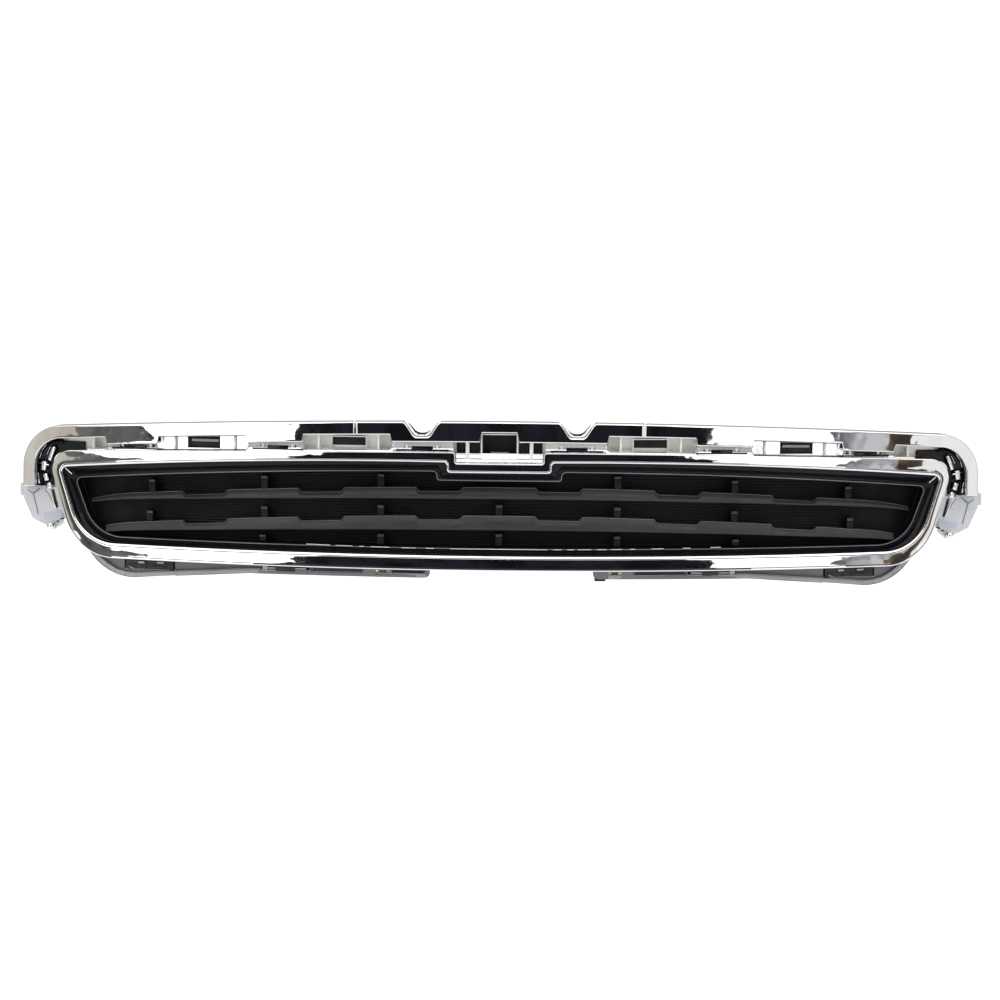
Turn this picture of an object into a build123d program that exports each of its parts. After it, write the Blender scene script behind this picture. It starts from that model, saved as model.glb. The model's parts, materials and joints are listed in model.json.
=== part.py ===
"""Front grille of a road car: a chrome surround with a clip channel, a chrome
ring, a gloss black bezel and a closed, ribbed panel with two notched louvres.

Millimetres.  +X runs to the right as seen from in front, +Z is up and the
grille faces -Y.  Everything follows one plan bow: "depth" is the distance
behind the foremost bowed surface, which touches Y = 0 on the centre line.
"""
import os

from build123d import *

# ---- plan bow -------------------------------------------------------------
BOW_RADIUS = 1500          # the front seen from above
BOW_REACH = 330            # how far back any outline has to be cut through
TALL = 500                 # taller than anything, for the bow cylinders

# ---- chrome surround ------------------------------------------------------
SURROUND_HALF = 547        # centre line to the outside of an end lobe
SURROUND_CROWN = 85        # top edge on the centre line
TOP_ARC = 9000             # radius of the top edge
LOBE_CORNER = 47           # upper outer corner
LOBE_END = 1               # height at which the end lobes stop
BAND_NARROW = 14.5         # band height over the clip windows
BAND_WIDE = 22.5           # band height over the hook slots
BAND_FRONT = 10            # depth of the band's face
SKIN = 3                   # chrome moulding thickness
RETURN_BACK = 34           # depth reached by the top return flange
FLOOR_FRONT = 28           # depth of the channel floor
FLOOR_BACK = 31
WALL = 2
RIM = 2.5                  # thickness of the top return flange
CHANNEL_CUT = 125          # the channel's stretches meet here
WIDE_ZONES = ((-446, -385), (-282, -219), (-120, 120), (219, 282), (385, 446))

NOTCH_CENTRE = 86          # bonnet-latch notches in the top edge
NOTCH_TOP = 21.5           # half widths
NOTCH_BOTTOM = 8.5
NOTCH_FLOOR = 68
NOTCH_ROUND = 13
SEAM_AT = 162              # small witness notches in the top edge
SEAM_SIZE = 2

WINDOW_SIZE = (37, 11)     # clip windows in the channel floor
WINDOWS = ((332, 55), (167.5, 60))
END_WINDOW = (32, 13)
END_WINDOW_AT = (490, 45.5)
CENTRE_WINDOW = (38, 25)
CENTRE_WINDOW_AT = (0, 57.5)
SOCKET_BACK = 41           # depth of the box behind the centre window
CARRIER_SKIN = 2.5
SLOT_SIZE = (60, 2.6)      # ring hook slots, each with a raised middle
SLOT_MIDDLE = (27, 7)
LUG_SIZE = (5, 3.5)        # lugs each side of a slot's raised middle
LUG_AT = 17
TAB_SIZE = (15, 2)         # tabs at the foot of the inner clip windows
SLOTS = ((413, 45.5), (249, 48.9), (87, 50.9))
RIBS = (36, 134, 201, 296, 365, 462)
RIB_THICK = 2.5

# ---- chrome ring ----------------------------------------------------------
RING_FRONT = 0
RING_BACK = 12
RING_EDGE = 3              # rounding of the ring's front edges
STEP_OUTER = 49            # half width of the dropped centre, outer edge
STEP_INNER = 58
STEP_DROP = 12.5
STEP_INNER_DROP = 11.3

# ---- bezel, panel and louvres ----------------------------------------------
BEZEL_FRONT = 13
BEZEL_FACE_BACK = 16
OPENING_STEP = 70          # half width of the dropped centre of the opening
OPENING_STEP_DROP = 10
BEZEL_BACK = 43
SLIT_SIZE = (16, 1.4)
SLIT_PITCH = 29
SLIT_COUNT = 14
PANEL_FRONT = 45
PANEL_BACK = 48
PANEL_RIB = 1.5
RIB_PITCH = 3.2
PANEL_RIB_COUNT = 26
PANEL_RIB_TOP = 25.6
LOUVRE_FRONT = 26
LOUVRE_BACK = 43
LOUVRE_SKIN = 3
LOUVRE_PITCH = 133         # spacing of the notches and of the fins
LOUVRE_NOTCH = (28, 22)    # half widths at the top and at the bottom
LOUVRE_NOTCH_DEPTH = 4.5
FIN_WIDTH = 7.7
FIN_FRONT = 30
CLEAR = 0.3                # gap between neighbouring pieces

# ---- end brackets ----------------------------------------------------------
BRACKET_FRONT = 24
BRACKET_BACK = 62
BRACKET_SKIN = 2.5
BRACKET_TOP = 0.2
EAR_DEPTH = 44             # depth of the screw ear's hole
EAR_OUT = 559.5            # centre line to the tip of the ear
EAR_HEIGHT = 14.5
EAR_HOLE_AT = 555
EAR_HOLE = 2.7             # radius, clears an M5 screw
EAR_EDGE = 1.5
STUD_AT = (515, -45)
STUD_BALL = 4.4            # radii of the ball stud
STUD_SHANK = 2.6
STUD_COLLAR = 4.0

# ---- lower rails ------------------------------------------------------------
RAIL_FRONT = 18            # depth of the recessed face
RAIL_SKIN = 2.5
RAIL_LIP = 13.5            # depth of the raised lip along the bottom
RAIL_LIP_HEIGHT = 6
RAIL_TOP = -68
RAIL_FLANGE_BACK = 44
RAIL_INNER_LEFT = 76       # the left rail runs further in than the right one
RAIL_INNER_RIGHT = 105
RAIL_BLOCK = 209           # the face is thick from the inner end out to here
NUT_AT = 129               # half the spacing of the two clip nuts
NUT_DEPTH = 30
NUT_BORE = 3.0             # radius, M6
NUT_BARREL = 5.0
NUT_PLATE = 1.0
NUT_SIZE = 15
FLANGE_LOW = -89           # underside of the flange at the nuts
CLIP_SLOTS = ((238.5, -82.5, 55, 7.5), (396, -84.5, 60, 11))
CLIP_PLATE = 1.5           # thickness of the plate behind a slot

# ---- where the origin lies ---------------------------------------------------
CENTRE_Y = 85.9
CENTRE_Z = -7.0


# ---------------------------------------------------------------------------
# shared helpers
# ---------------------------------------------------------------------------
def bow_cylinder(depth):
    """The bowed surface at one depth, as a tall upright cylinder."""
    return Pos(0, BOW_RADIUS, 0) * Cylinder(BOW_RADIUS - depth, TALL)


def curved(outline, front, back):
    """An outline drawn in the front view, kept between two bowed depths."""
    block = Plane.XZ * outline
    block = extrude(block, amount=BOW_REACH, dir=(0, 1, 0))
    return (block & bow_cylinder(front)) - bow_cylinder(back)


def bow_y(x, depth):
    """Y of the bowed surface at one X."""
    radius = BOW_RADIUS - depth
    return BOW_RADIUS - (radius * radius - x * x) ** 0.5


def rect(x, z, width, height):
    """A rectangle centred at (x, z) in the front view."""
    return Pos(x, z) * Rectangle(width, height)


def span(x_low, x_high, z_low, z_high):
    """A rectangle given by its limits."""
    return rect((x_low + x_high) / 2, (z_low + z_high) / 2, x_high - x_low, z_high - z_low)


def both_sides(shape):
    """A shape together with its mirror image across the centre plane."""
    return shape + mirror(shape, Plane.YZ)


def union(shapes):
    """All the shapes fused into one."""
    total = shapes[0]
    for shape in shapes[1:]:
        total += shape
    return total


def rounded(sketch, radius, z_low, z_high, x_low=0, x_high=1000):
    """Round the corners of a sketch that lie in one window, on both sides."""
    corners = [
        v for v in sketch.vertices()
        if z_low <= v.Y <= z_high and x_low <= abs(v.X) <= x_high
    ]
    return fillet(corners, radius)


# ---------------------------------------------------------------------------
# chrome surround
# ---------------------------------------------------------------------------
def top_height(x, inset=0):
    """Height of the surround's top arc at one X."""
    radius = TOP_ARC - inset
    return SURROUND_CROWN - TOP_ARC + (radius * radius - x * x) ** 0.5


def surround_outline(inset=0):
    """The whole front view inside the surround's outer edge, down to the lobe ends."""
    half = SURROUND_HALF - inset
    crown = SURROUND_CROWN - inset
    shoulder = top_height(half, inset)
    side = Line((half, LOBE_END), (half, shoulder))
    top = ThreePointArc((half, shoulder), (0, crown), (-half, shoulder))
    other = Line((-half, shoulder), (-half, LOBE_END))
    base = Line((-half, LOBE_END), (half, LOBE_END))
    face = make_face([side, top, other, base])
    return rounded(face, max(LOBE_CORNER - inset, 4), 40, 100, 400)


def latch_notch(grow=0):
    """One notch in the top edge, as a shape to take away."""
    top = NOTCH_TOP + grow
    bottom = NOTCH_BOTTOM + grow
    floor = NOTCH_FLOOR - grow
    rim = top_height(NOTCH_CENTRE) + 1
    face = make_face(Polyline(
        (-top, rim), (-bottom, floor), (bottom, floor), (top, rim), close=True))
    face = fillet([v for v in face.vertices() if v.Y < floor + 1], NOTCH_ROUND + grow)
    return Pos(NOTCH_CENTRE, 0) * face


def notched_outline(inset=0):
    """The surround's outline with both latch notches, inset all round."""
    return surround_outline(inset) - both_sides(latch_notch(inset))


def channel_mouth(grow=0):
    """The gap that the chrome band leaves open, wide over the clip windows."""
    mouth = surround_outline(BAND_NARROW - grow)
    drops = []
    for low, high in WIDE_ZONES:
        strip = span(low, high, LOBE_END, 100) & surround_outline(-1)
        drops.append(strip - (surround_outline(BAND_WIDE - grow)))
    mouth -= union(drops)
    lift = span(-21.5 - grow, 21.5 + grow, 55, 72.5 + grow)
    return mouth + lift


def channel_floor():
    """The recessed chrome wall with its windows and hook slots."""
    outline = surround_outline(BAND_NARROW - 3) - ring_outer(-7)
    for x, z in WINDOWS:
        outline -= both_sides(rect(x, z, *WINDOW_SIZE))
    outline -= both_sides(rect(*END_WINDOW_AT, *END_WINDOW))
    outline -= rect(*CENTRE_WINDOW_AT, *CENTRE_WINDOW)
    for x, z in SLOTS:
        middle = rect(x, z + (SLOT_MIDDLE[1] - SLOT_SIZE[1]) / 2, *SLOT_MIDDLE)
        outline -= both_sides(rect(x, z, *SLOT_SIZE) + middle)
    outline -= both_sides(latch_notch(RIM + 0.5))
    return curved(outline, FLOOR_FRONT, FLOOR_BACK)


def slot_lugs():
    """Small lugs above each hook slot, either side of its raised middle."""
    lugs = []
    for x, z in SLOTS:
        foot = z + (SLOT_SIZE[1] + LUG_SIZE[1]) / 2
        for side in (-LUG_AT, LUG_AT):
            lugs.append(both_sides(rect(x + side, foot, *LUG_SIZE)))
    return curved(union(lugs), FLOOR_FRONT - 3, FLOOR_FRONT)


def window_rims():
    """Thin raised rims round the four clip windows."""
    rims = []
    for x, z in WINDOWS:
        width, height = WINDOW_SIZE
        rims.append(both_sides(rect(x, z, width + 3, height + 3) - rect(x, z, width, height)))
    return curved(union(rims) & channel_mouth(WALL), FLOOR_FRONT - 1.5, FLOOR_FRONT)


def channel_walls():
    """The wall that joins the band's lower edge to the channel floor."""
    strip = channel_mouth(WALL) - channel_mouth(0)
    return curved(strip, BAND_FRONT + SKIN, FLOOR_FRONT)


def channel_ribs():
    """Thin upright ribs across the channel."""
    ribs = []
    for x in RIBS:
        column = span(x - RIB_THICK / 2, x + RIB_THICK / 2, 20, 90)
        ribs.append(column & channel_mouth(WALL) & (channel_mouth(WALL) - ring_outer(-2)))
    return curved(both_sides(union(ribs)), BAND_FRONT + SKIN + 3, FLOOR_FRONT)


def ring_shelf():
    """The ledge behind the ring that closes the channel below."""
    strip = (ring_outer(-3) - ring_outer(-6)) & span(-600, 600, LOBE_END, 100)
    return curved(strip, RING_BACK + CLEAR, FLOOR_FRONT)


def window_lip():
    """The raised rim round the centre window."""
    width, height = CENTRE_WINDOW
    outer = rect(*CENTRE_WINDOW_AT, width + 4, height + 4)
    inner = rect(*CENTRE_WINDOW_AT, width, height)
    return curved(outer - inner, FLOOR_FRONT - 4, FLOOR_FRONT)


def chrome_band():
    """The band's face and its top return flange."""
    band = notched_outline() - channel_mouth()
    seam = both_sides(rect(SEAM_AT, top_height(SEAM_AT), SEAM_SIZE, SEAM_SIZE * 2))
    face = curved(band - seam, BAND_FRONT, BAND_FRONT + SKIN)
    rim = curved(notched_outline() - notched_outline(RIM) - seam, BAND_FRONT + SKIN, RETURN_BACK)
    return face + rim


def clip_channel():
    """Channel walls, floor, ribs, ledge, lugs and window rims."""
    channel = union([
        channel_walls(), channel_floor(), channel_ribs(), ring_shelf(), window_lip(),
        window_rims(), slot_lugs()])
    return channel - curved(notched_outline() - notched_outline(RIM), BAND_FRONT, RETURN_BACK)


def thirds(shape, name, cut):
    """The left, centre and right stretches of a piece, parted at plus and minus one X."""
    for part, low, high in (("left", -600, -cut), ("centre", -cut, cut), ("right", cut, 600)):
        slab = Pos((low + high) / 2, 100, 0) * Box(high - low, 400, TALL)
        yield f"{name}_{part}", shape & slab


# ---------------------------------------------------------------------------
# chrome ring
# ---------------------------------------------------------------------------
def ring_outer(grow=0):
    """Outer edge of the chrome ring, with its dropped centre."""
    top = ThreePointArc((517.5, 42.8), (0, 51.6), (-517.5, 42.8))
    left = Line((-517.5, 42.8), (-481.7, -76.5))
    bottom = ThreePointArc((-481.7, -76.5), (0, -79.2), (481.7, -76.5))
    right = Line((481.7, -76.5), (517.5, 42.8))
    face = make_face([top, left, bottom, right])
    face = rounded(face, 14, 20, 60, 400)
    face = rounded(face, 60, -90, -60, 400)
    face -= span(-STEP_OUTER, STEP_OUTER, 51.6 - STEP_DROP, 80)
    face = rounded(face, 3, 38, 52, 40, 60)
    if grow:
        face = offset(face, amount=grow)
    return face


def ring_inner(grow=0):
    """Inner edge of the chrome ring."""
    top_right = ThreePointArc((STEP_INNER, 40), (272, 37.2), (500, 24))
    right = Line((500, 24), (473.3, -59.3))
    bottom = ThreePointArc((473.3, -59.3), (0, -62.4), (-473.3, -59.3))
    left = Line((-473.3, -59.3), (-500, 24))
    top_left = ThreePointArc((-500, 24), (-272, 37.2), (-STEP_INNER, 40))
    floor = 40 - STEP_INNER_DROP
    step = Polyline((-STEP_INNER, 40), (-STEP_INNER, floor), (STEP_INNER, floor), (STEP_INNER, 40))
    face = make_face([top_right, right, bottom, left, top_left, *step.edges()])
    face = rounded(face, 6, 20, 30, 400)
    face = rounded(face, 52, -70, -50, 400)
    face = rounded(face, 4, 25, 45, 50, 70)
    if grow:
        face = offset(face, amount=grow)
    return face


def chrome_ring():
    """The bright ring, with rounded front edges."""
    ring = curved(ring_outer() - ring_inner(), RING_FRONT, RING_BACK)
    front = [
        edge for edge in ring.edges()
        if all(abs(bow_y(v.X, RING_FRONT) - v.Y) < 0.01 for v in edge.vertices())
    ]
    return fillet(front, RING_EDGE)


# ---------------------------------------------------------------------------
# bezel, panel, louvres and fins
# ---------------------------------------------------------------------------
def opening(grow=0):
    """The opening inside the bezel."""
    top_right = ThreePointArc((OPENING_STEP, 28.5), (285, 23.9), (484.5, 10.8))
    right = Line((484.5, 10.8), (460.5, -53.5))
    bottom = ThreePointArc((460.5, -53.5), (0, -55.8), (-460.5, -53.5))
    left = Line((-460.5, -53.5), (-484.5, 10.8))
    top_left = ThreePointArc((-484.5, 10.8), (-285, 23.9), (-OPENING_STEP, 28.5))
    low = 28.5 - OPENING_STEP_DROP
    step = Polyline((-OPENING_STEP, 28.5), (-OPENING_STEP, low), (OPENING_STEP, low),
                    (OPENING_STEP, 28.5))
    face = make_face([top_right, right, bottom, left, top_left, *step.edges()])
    face = rounded(face, 5, 5, 12, 400)
    face = rounded(face, 45, -60, -40, 400)
    face = rounded(face, 4, 15, 30, 60, 80)
    if grow:
        face = offset(face, amount=grow)
    return face


def bezel_frame():
    """Gloss black strip inside the ring with a deep wall round the opening."""
    face = curved(ring_inner(4) - opening(), BEZEL_FRONT, BEZEL_FACE_BACK)
    wall = curved(opening(2) - opening(), BEZEL_FACE_BACK, BEZEL_BACK)
    slits = []
    first = -SLIT_PITCH * (SLIT_COUNT - 1) / 2
    for index in range(SLIT_COUNT):
        slits.append(rect(first + index * SLIT_PITCH, -58.6, *SLIT_SIZE))
    cut = curved(union(slits), BEZEL_FRONT - 1, BEZEL_FACE_BACK + 1)
    return face + wall - cut


def air_blocker_panel():
    """Closed panel behind the louvres with fine horizontal ribs."""
    outline = opening(5)
    plate = curved(outline, PANEL_FRONT, PANEL_BACK)
    strips = []
    for index in range(PANEL_RIB_COUNT):
        z = PANEL_RIB_TOP - index * RIB_PITCH
        strips.append(span(-600, 600, z - RIB_PITCH / 4, z + RIB_PITCH / 4))
    ribs = union(strips) & outline
    return plate + curved(ribs, PANEL_FRONT - PANEL_RIB, PANEL_FRONT)


def louvre_outline(crown, arc, end, height):
    """Front view of a louvre: two arcs, with notches along the upper one."""
    top_end = crown - end * end / (2 * arc)
    low_arc = arc * 1.6
    low_end = crown - height - end * end / (2 * low_arc)
    top = ThreePointArc((end, top_end), (0, crown), (-end, top_end))
    bottom = ThreePointArc((-end, low_end), (0, crown - height), (end, low_end))
    sides = [Line((-end, top_end), (-end, low_end)), Line((end, low_end), (end, top_end))]
    face = make_face([top, bottom, *sides])
    cuts = []
    for index in (-2.5, -1.5, -0.5, 0.5, 1.5, 2.5):
        x = index * LOUVRE_PITCH
        z = crown - x * x / (2 * arc)
        tilt = x / arc * 57.3
        wide, narrow = LOUVRE_NOTCH
        cut = make_face(Polyline((-wide - 3, 3), (-narrow, -LOUVRE_NOTCH_DEPTH),
                                 (narrow, -LOUVRE_NOTCH_DEPTH), (wide + 3, 3), close=True))
        cuts.append(Pos(x, z) * Rot(0, 0, -tilt) * cut)
    return face - union(cuts)


def louvre(crown, arc, end, height):
    """A blade with a shelf along its top that reaches back to the panel."""
    outline = louvre_outline(crown, arc, end, height) & opening(-1)
    blade = curved(outline, LOUVRE_FRONT, LOUVRE_FRONT + LOUVRE_SKIN)
    lowered = Pos(0, -LOUVRE_SKIN) * outline
    shelf = curved(outline - lowered, LOUVRE_FRONT + LOUVRE_SKIN, LOUVRE_BACK)
    return blade + shelf


def fin_row(tops, foot):
    """Upright fins in front of the panel, given as (x, top) with a foot height."""
    fins = []
    for x, top in tops:
        for side in ((1, -1) if x else (1,)):
            fins.append(span(side * x - FIN_WIDTH / 2, side * x + FIN_WIDTH / 2, foot(x), top))
    return curved(union(fins), FIN_FRONT, LOUVRE_BACK)


# ---------------------------------------------------------------------------
# black parts seen through the channel
# ---------------------------------------------------------------------------
def window_clips():
    """Four identical clip blocks behind the clip windows."""
    blocks = [both_sides(rect(x, z + 1, 33, 7)) for x, z in WINDOWS]
    lips = [both_sides(rect(x, z - 1, 41, 13)) for x, z in WINDOWS]
    body = curved(union(blocks), FLOOR_FRONT + 1, FLOOR_BACK + CLEAR)
    plate = curved(union(lips), FLOOR_BACK + CLEAR, FLOOR_BACK + 3)
    return body + plate


def window_tabs():
    """Light coloured tabs at the foot of the two inner clip windows."""
    x, z = WINDOWS[1]
    foot = z - (WINDOW_SIZE[1] - TAB_SIZE[1]) / 2 + CLEAR
    return curved(both_sides(rect(x, foot, *TAB_SIZE)), FLOOR_FRONT, FLOOR_BACK)


def end_clip(side):
    """Black block behind an end window."""
    x, z = END_WINDOW_AT
    body = rect(side * x, z, END_WINDOW[0] - 2, END_WINDOW[1] - 2)
    plate = rect(side * x, z - 1, END_WINDOW[0] + 4, END_WINDOW[1] + 3)
    return curved(body, FLOOR_FRONT + 2, FLOOR_BACK + CLEAR) + curved(
        plate, FLOOR_BACK + CLEAR, FLOOR_BACK + 3)


def emblem_socket():
    """Black box behind the centre window."""
    x, z = CENTRE_WINDOW_AT
    width, height = CENTRE_WINDOW
    outer = rect(x, z, width + 5, height + 4)
    hollow = rect(x, z, width - 3, height - 1)
    return curved(outer, FLOOR_BACK + CLEAR, SOCKET_BACK) - curved(
        hollow, FLOOR_BACK, SOCKET_BACK - 2)


def socket_catch():
    """Light coloured catch at the foot of the centre window."""
    x, z = CENTRE_WINDOW_AT
    foot = z - CENTRE_WINDOW[1] / 2 + 0.5 + CLEAR
    return curved(span(x - 10, x + 10, foot, foot + 4.5), FLOOR_BACK + 1, SOCKET_BACK - 2.2)


def upper_carrier():
    """Black flange behind the band, seen through the latch notches."""
    top = (surround_outline(3) & span(-440, 440, 50, 100)) - both_sides(latch_notch(-3))
    width, height = CENTRE_WINDOW
    socket = rect(*CENTRE_WINDOW_AT, width + 8, height + 7)
    strip = top - surround_outline(BAND_WIDE) - socket
    return curved(strip, RETURN_BACK + CLEAR, RETURN_BACK + CLEAR + CARRIER_SKIN)


# ---------------------------------------------------------------------------
# end brackets and ball studs, right-hand side; the left is the mirror image
# ---------------------------------------------------------------------------
def bracket_outline():
    """Front view of a bracket without its ear."""
    face = make_face(Polyline(
        (524, BRACKET_TOP), (551, BRACKET_TOP), (551, -14.5), (540, -38), (520, -46.5),
        (501.5, -38.5), (509, -27), (524, -5), close=True))
    face = fillet([v for v in face.vertices() if v.Y < -30], 3)
    return face + Pos(STUD_AT[0], STUD_AT[1] + 1) * Circle(6)


def ear():
    """Screw ear outboard of the bracket: a rounded tab with a hole along Z."""
    reach = EAR_OUT - EAR_HOLE_AT
    y = bow_y(EAR_HOLE_AT, EAR_DEPTH)
    middle = BRACKET_TOP - EAR_HEIGHT / 2
    boss = Pos(EAR_HOLE_AT, y, middle) * Cylinder(reach, EAR_HEIGHT)
    boss = fillet(boss.edges(), EAR_EDGE)
    arm = Pos(EAR_HOLE_AT - 3, y, middle) * Box(6, reach * 2, EAR_HEIGHT - 2 * EAR_EDGE)
    hole = Pos(EAR_HOLE_AT, y, middle) * Cylinder(EAR_HOLE, EAR_HEIGHT + 2)
    return boss + arm - hole


def bracket():
    """Open-backed box with a screw ear and a tab up behind the surround."""
    outline = bracket_outline()
    front = curved(outline, BRACKET_FRONT, BRACKET_FRONT + BRACKET_SKIN)
    wall = outline - offset(outline, amount=-BRACKET_SKIN)
    walls = curved(wall, BRACKET_FRONT + BRACKET_SKIN, BRACKET_BACK)
    crease = span(534, 536, -35, -3)
    rib = curved(crease, BRACKET_FRONT + BRACKET_SKIN, BRACKET_BACK - 10)
    tab = curved(span(512, 536, -2, 20), FLOOR_BACK + CLEAR, FLOOR_BACK + 3)
    body = union([front, walls, rib, tab, ear()])
    return body - stud_axis(STUD_SHANK + 0.2, 10, 40)


def stud_axis(radius, front, back):
    """A cylinder along Y through the stud position, between two depths."""
    x, z = STUD_AT
    low = bow_y(x, front)
    high = bow_y(x, back)
    return Pos(x, (low + high) / 2, z) * Rot(90, 0, 0) * Cylinder(radius, high - low)


def ball_stud():
    """Chrome ball stud: ball, collar and a shank through the bracket."""
    x, z = STUD_AT
    ball = Pos(x, bow_y(x, 14), z) * Sphere(STUD_BALL)
    shank = stud_axis(STUD_SHANK, 15, 31)
    collar = stud_axis(STUD_COLLAR, 19.4, 20.8)
    return ball + shank + collar


# ---------------------------------------------------------------------------
# lower rails, clips and nuts, right-hand side; the left is the mirror image
# ---------------------------------------------------------------------------
def rail_outline(inner, lift=0):
    """Front view of a rail, from its inner end to the upturned outer corner."""
    face = make_face([
        Line((inner, RAIL_TOP), (inner, FLANGE_LOW + lift)),
        Line((inner, FLANGE_LOW + lift), (280, FLANGE_LOW + lift)),
        Line((280, FLANGE_LOW + lift), (364, -95.2 + lift)),
        Line((364, -95.2 + lift), (366, -94.6 + lift)),
        Line((366, -94.6 + lift), (412, -99 + lift)),
        ThreePointArc((412, -99 + lift), (436, -95.5 + lift), (462, -78 + lift)),
        Line((462, -78 + lift), (470, RAIL_TOP + lift)),
        Line((470, RAIL_TOP + lift), (inner, RAIL_TOP)),
    ])
    return face


def rail_pockets(inner):
    """Recesses in the thick inner part of a rail."""
    long_pocket = make_face(Polyline(
        (151, -85.6), (RAIL_BLOCK, -85.6), (RAIL_BLOCK, -70), (145, -70), close=True))
    if inner > 100:
        return long_pocket
    round_pocket = fillet(
        [v for v in span(81, 119, -86, -70).vertices() if v.Y < -80], 5)
    return long_pocket + round_pocket


def nut_place():
    """Y of the clip nuts."""
    return bow_y(NUT_AT, NUT_DEPTH)


def lower_rail(inner):
    """Rail below the ring: recessed face, raised lip, bottom flange and end wall."""
    outline = rail_outline(inner)
    outline = fillet(
        [v for v in outline.vertices() if v.X < inner + 1 and v.Y < RAIL_TOP - 1], 6)
    strip = outline - rail_outline(inner - 10, RAIL_LIP_HEIGHT)
    block = outline & span(inner - 1, RAIL_BLOCK, -120, RAIL_TOP)
    lip = curved((strip + block) - rail_pockets(inner), RAIL_LIP, RAIL_FRONT)
    plate = curved(outline, RAIL_FRONT, RAIL_FRONT + RAIL_SKIN)
    edge = outline - rail_outline(inner - 10, RAIL_SKIN)
    flange = curved(edge, RAIL_FRONT + RAIL_SKIN, RAIL_FLANGE_BACK)
    tabs = union([span(x - 8, x + 8, RAIL_TOP - 2, -60.5) for x in (170, 310, 430)])
    body = lip + plate + flange + curved(tabs, BEZEL_FACE_BACK + CLEAR, RAIL_FRONT + RAIL_SKIN)
    windows = union([rect(*slot) for slot in CLIP_SLOTS]) + rect(NUT_AT, -84, 15, 5)
    body -= curved(windows, RAIL_LIP - 1, RAIL_FRONT + RAIL_SKIN + 0.5)
    return body - Pos(NUT_AT, nut_place(), FLANGE_LOW) * Cylinder(NUT_BORE + 1.2, 12)


def clip_backing(slot):
    """Plate that closes a rail slot from behind."""
    x, z, width, height = slot
    low, high = z - height / 2 + 0.1, z + height / 2 + 1.5
    plate = span(x - width / 2 - 1, x + width / 2 + 1, low, high)
    back = RAIL_FRONT + RAIL_SKIN + CLEAR
    return curved(plate, back, back + CLIP_PLATE)


def inner_clip():
    """Inner rail clip: a rod with a bulb at its outer end and a block at mid length."""
    slot = CLIP_SLOTS[0]
    x, z, width, height = slot
    reach = width / 2 - 4
    rod = rect(x, z, 2 * reach, 1.8) + Pos(x + reach, z) * Circle(2.6)
    block = rect(x - 2, z, 18, height - 1.5)
    back = RAIL_FRONT + RAIL_SKIN + CLEAR
    return union([curved(rod, RAIL_FRONT - 2, back), curved(block, RAIL_LIP + 1, back),
                  clip_backing(slot)])


def outer_clip():
    """Outer rail clip: a wide block with two upright grooves."""
    slot = CLIP_SLOTS[1]
    x, z, width, height = slot
    block = rect(x, z, width - 4, height - 2)
    block -= rect(x - 11, z + 1, 3, height - 4)
    block -= rect(x + 11, z + 1, 3, height - 4)
    back = RAIL_FRONT + RAIL_SKIN + CLEAR
    return curved(block, RAIL_FRONT - 1, back) + clip_backing(slot)


def clip_nut():
    """U-shaped clip nut over the rail's flange, threaded along Z."""
    flange_top = FLANGE_LOW + RAIL_SKIN
    gap = 0.15
    upper = flange_top + gap
    lower = FLANGE_LOW - gap
    plate = NUT_SIZE
    top = Pos(0, 0, upper + NUT_PLATE / 2) * Box(plate, plate, NUT_PLATE)
    under = Pos(0, 0, lower - NUT_PLATE / 2) * Box(plate, plate, NUT_PLATE)
    height = upper - lower + 2 * NUT_PLATE
    back_y = plate / 2 + 8
    side = Pos(0, back_y, (upper + lower) / 2) * Box(plate, NUT_PLATE, height)
    reach = back_y - plate / 2
    arms = [
        Pos(0, plate / 2 + reach / 2, z) * Box(plate, reach, NUT_PLATE)
        for z in (upper + NUT_PLATE / 2, lower - NUT_PLATE / 2)
    ]
    barrel = Pos(0, 0, upper + NUT_PLATE + 2.2) * Cylinder(NUT_BARREL, 4.4)
    body = union([top, under, side, barrel, *arms])
    body -= Pos(0, 0, FLANGE_LOW) * Cylinder(NUT_BORE, 40)
    return Pos(NUT_AT, nut_place(), 0) * body


def rail_pad():
    """Black pad under the short rail's inner end."""
    return curved(span(107, 119, FLANGE_LOW - 2.2, FLANGE_LOW - 0.1), RAIL_LIP + 1, RAIL_FRONT + 16)


# ---------------------------------------------------------------------------
# every piece
# ---------------------------------------------------------------------------
def to_left(shape):
    """The mirror image on the left-hand side."""
    return mirror(shape, Plane.YZ)


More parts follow.
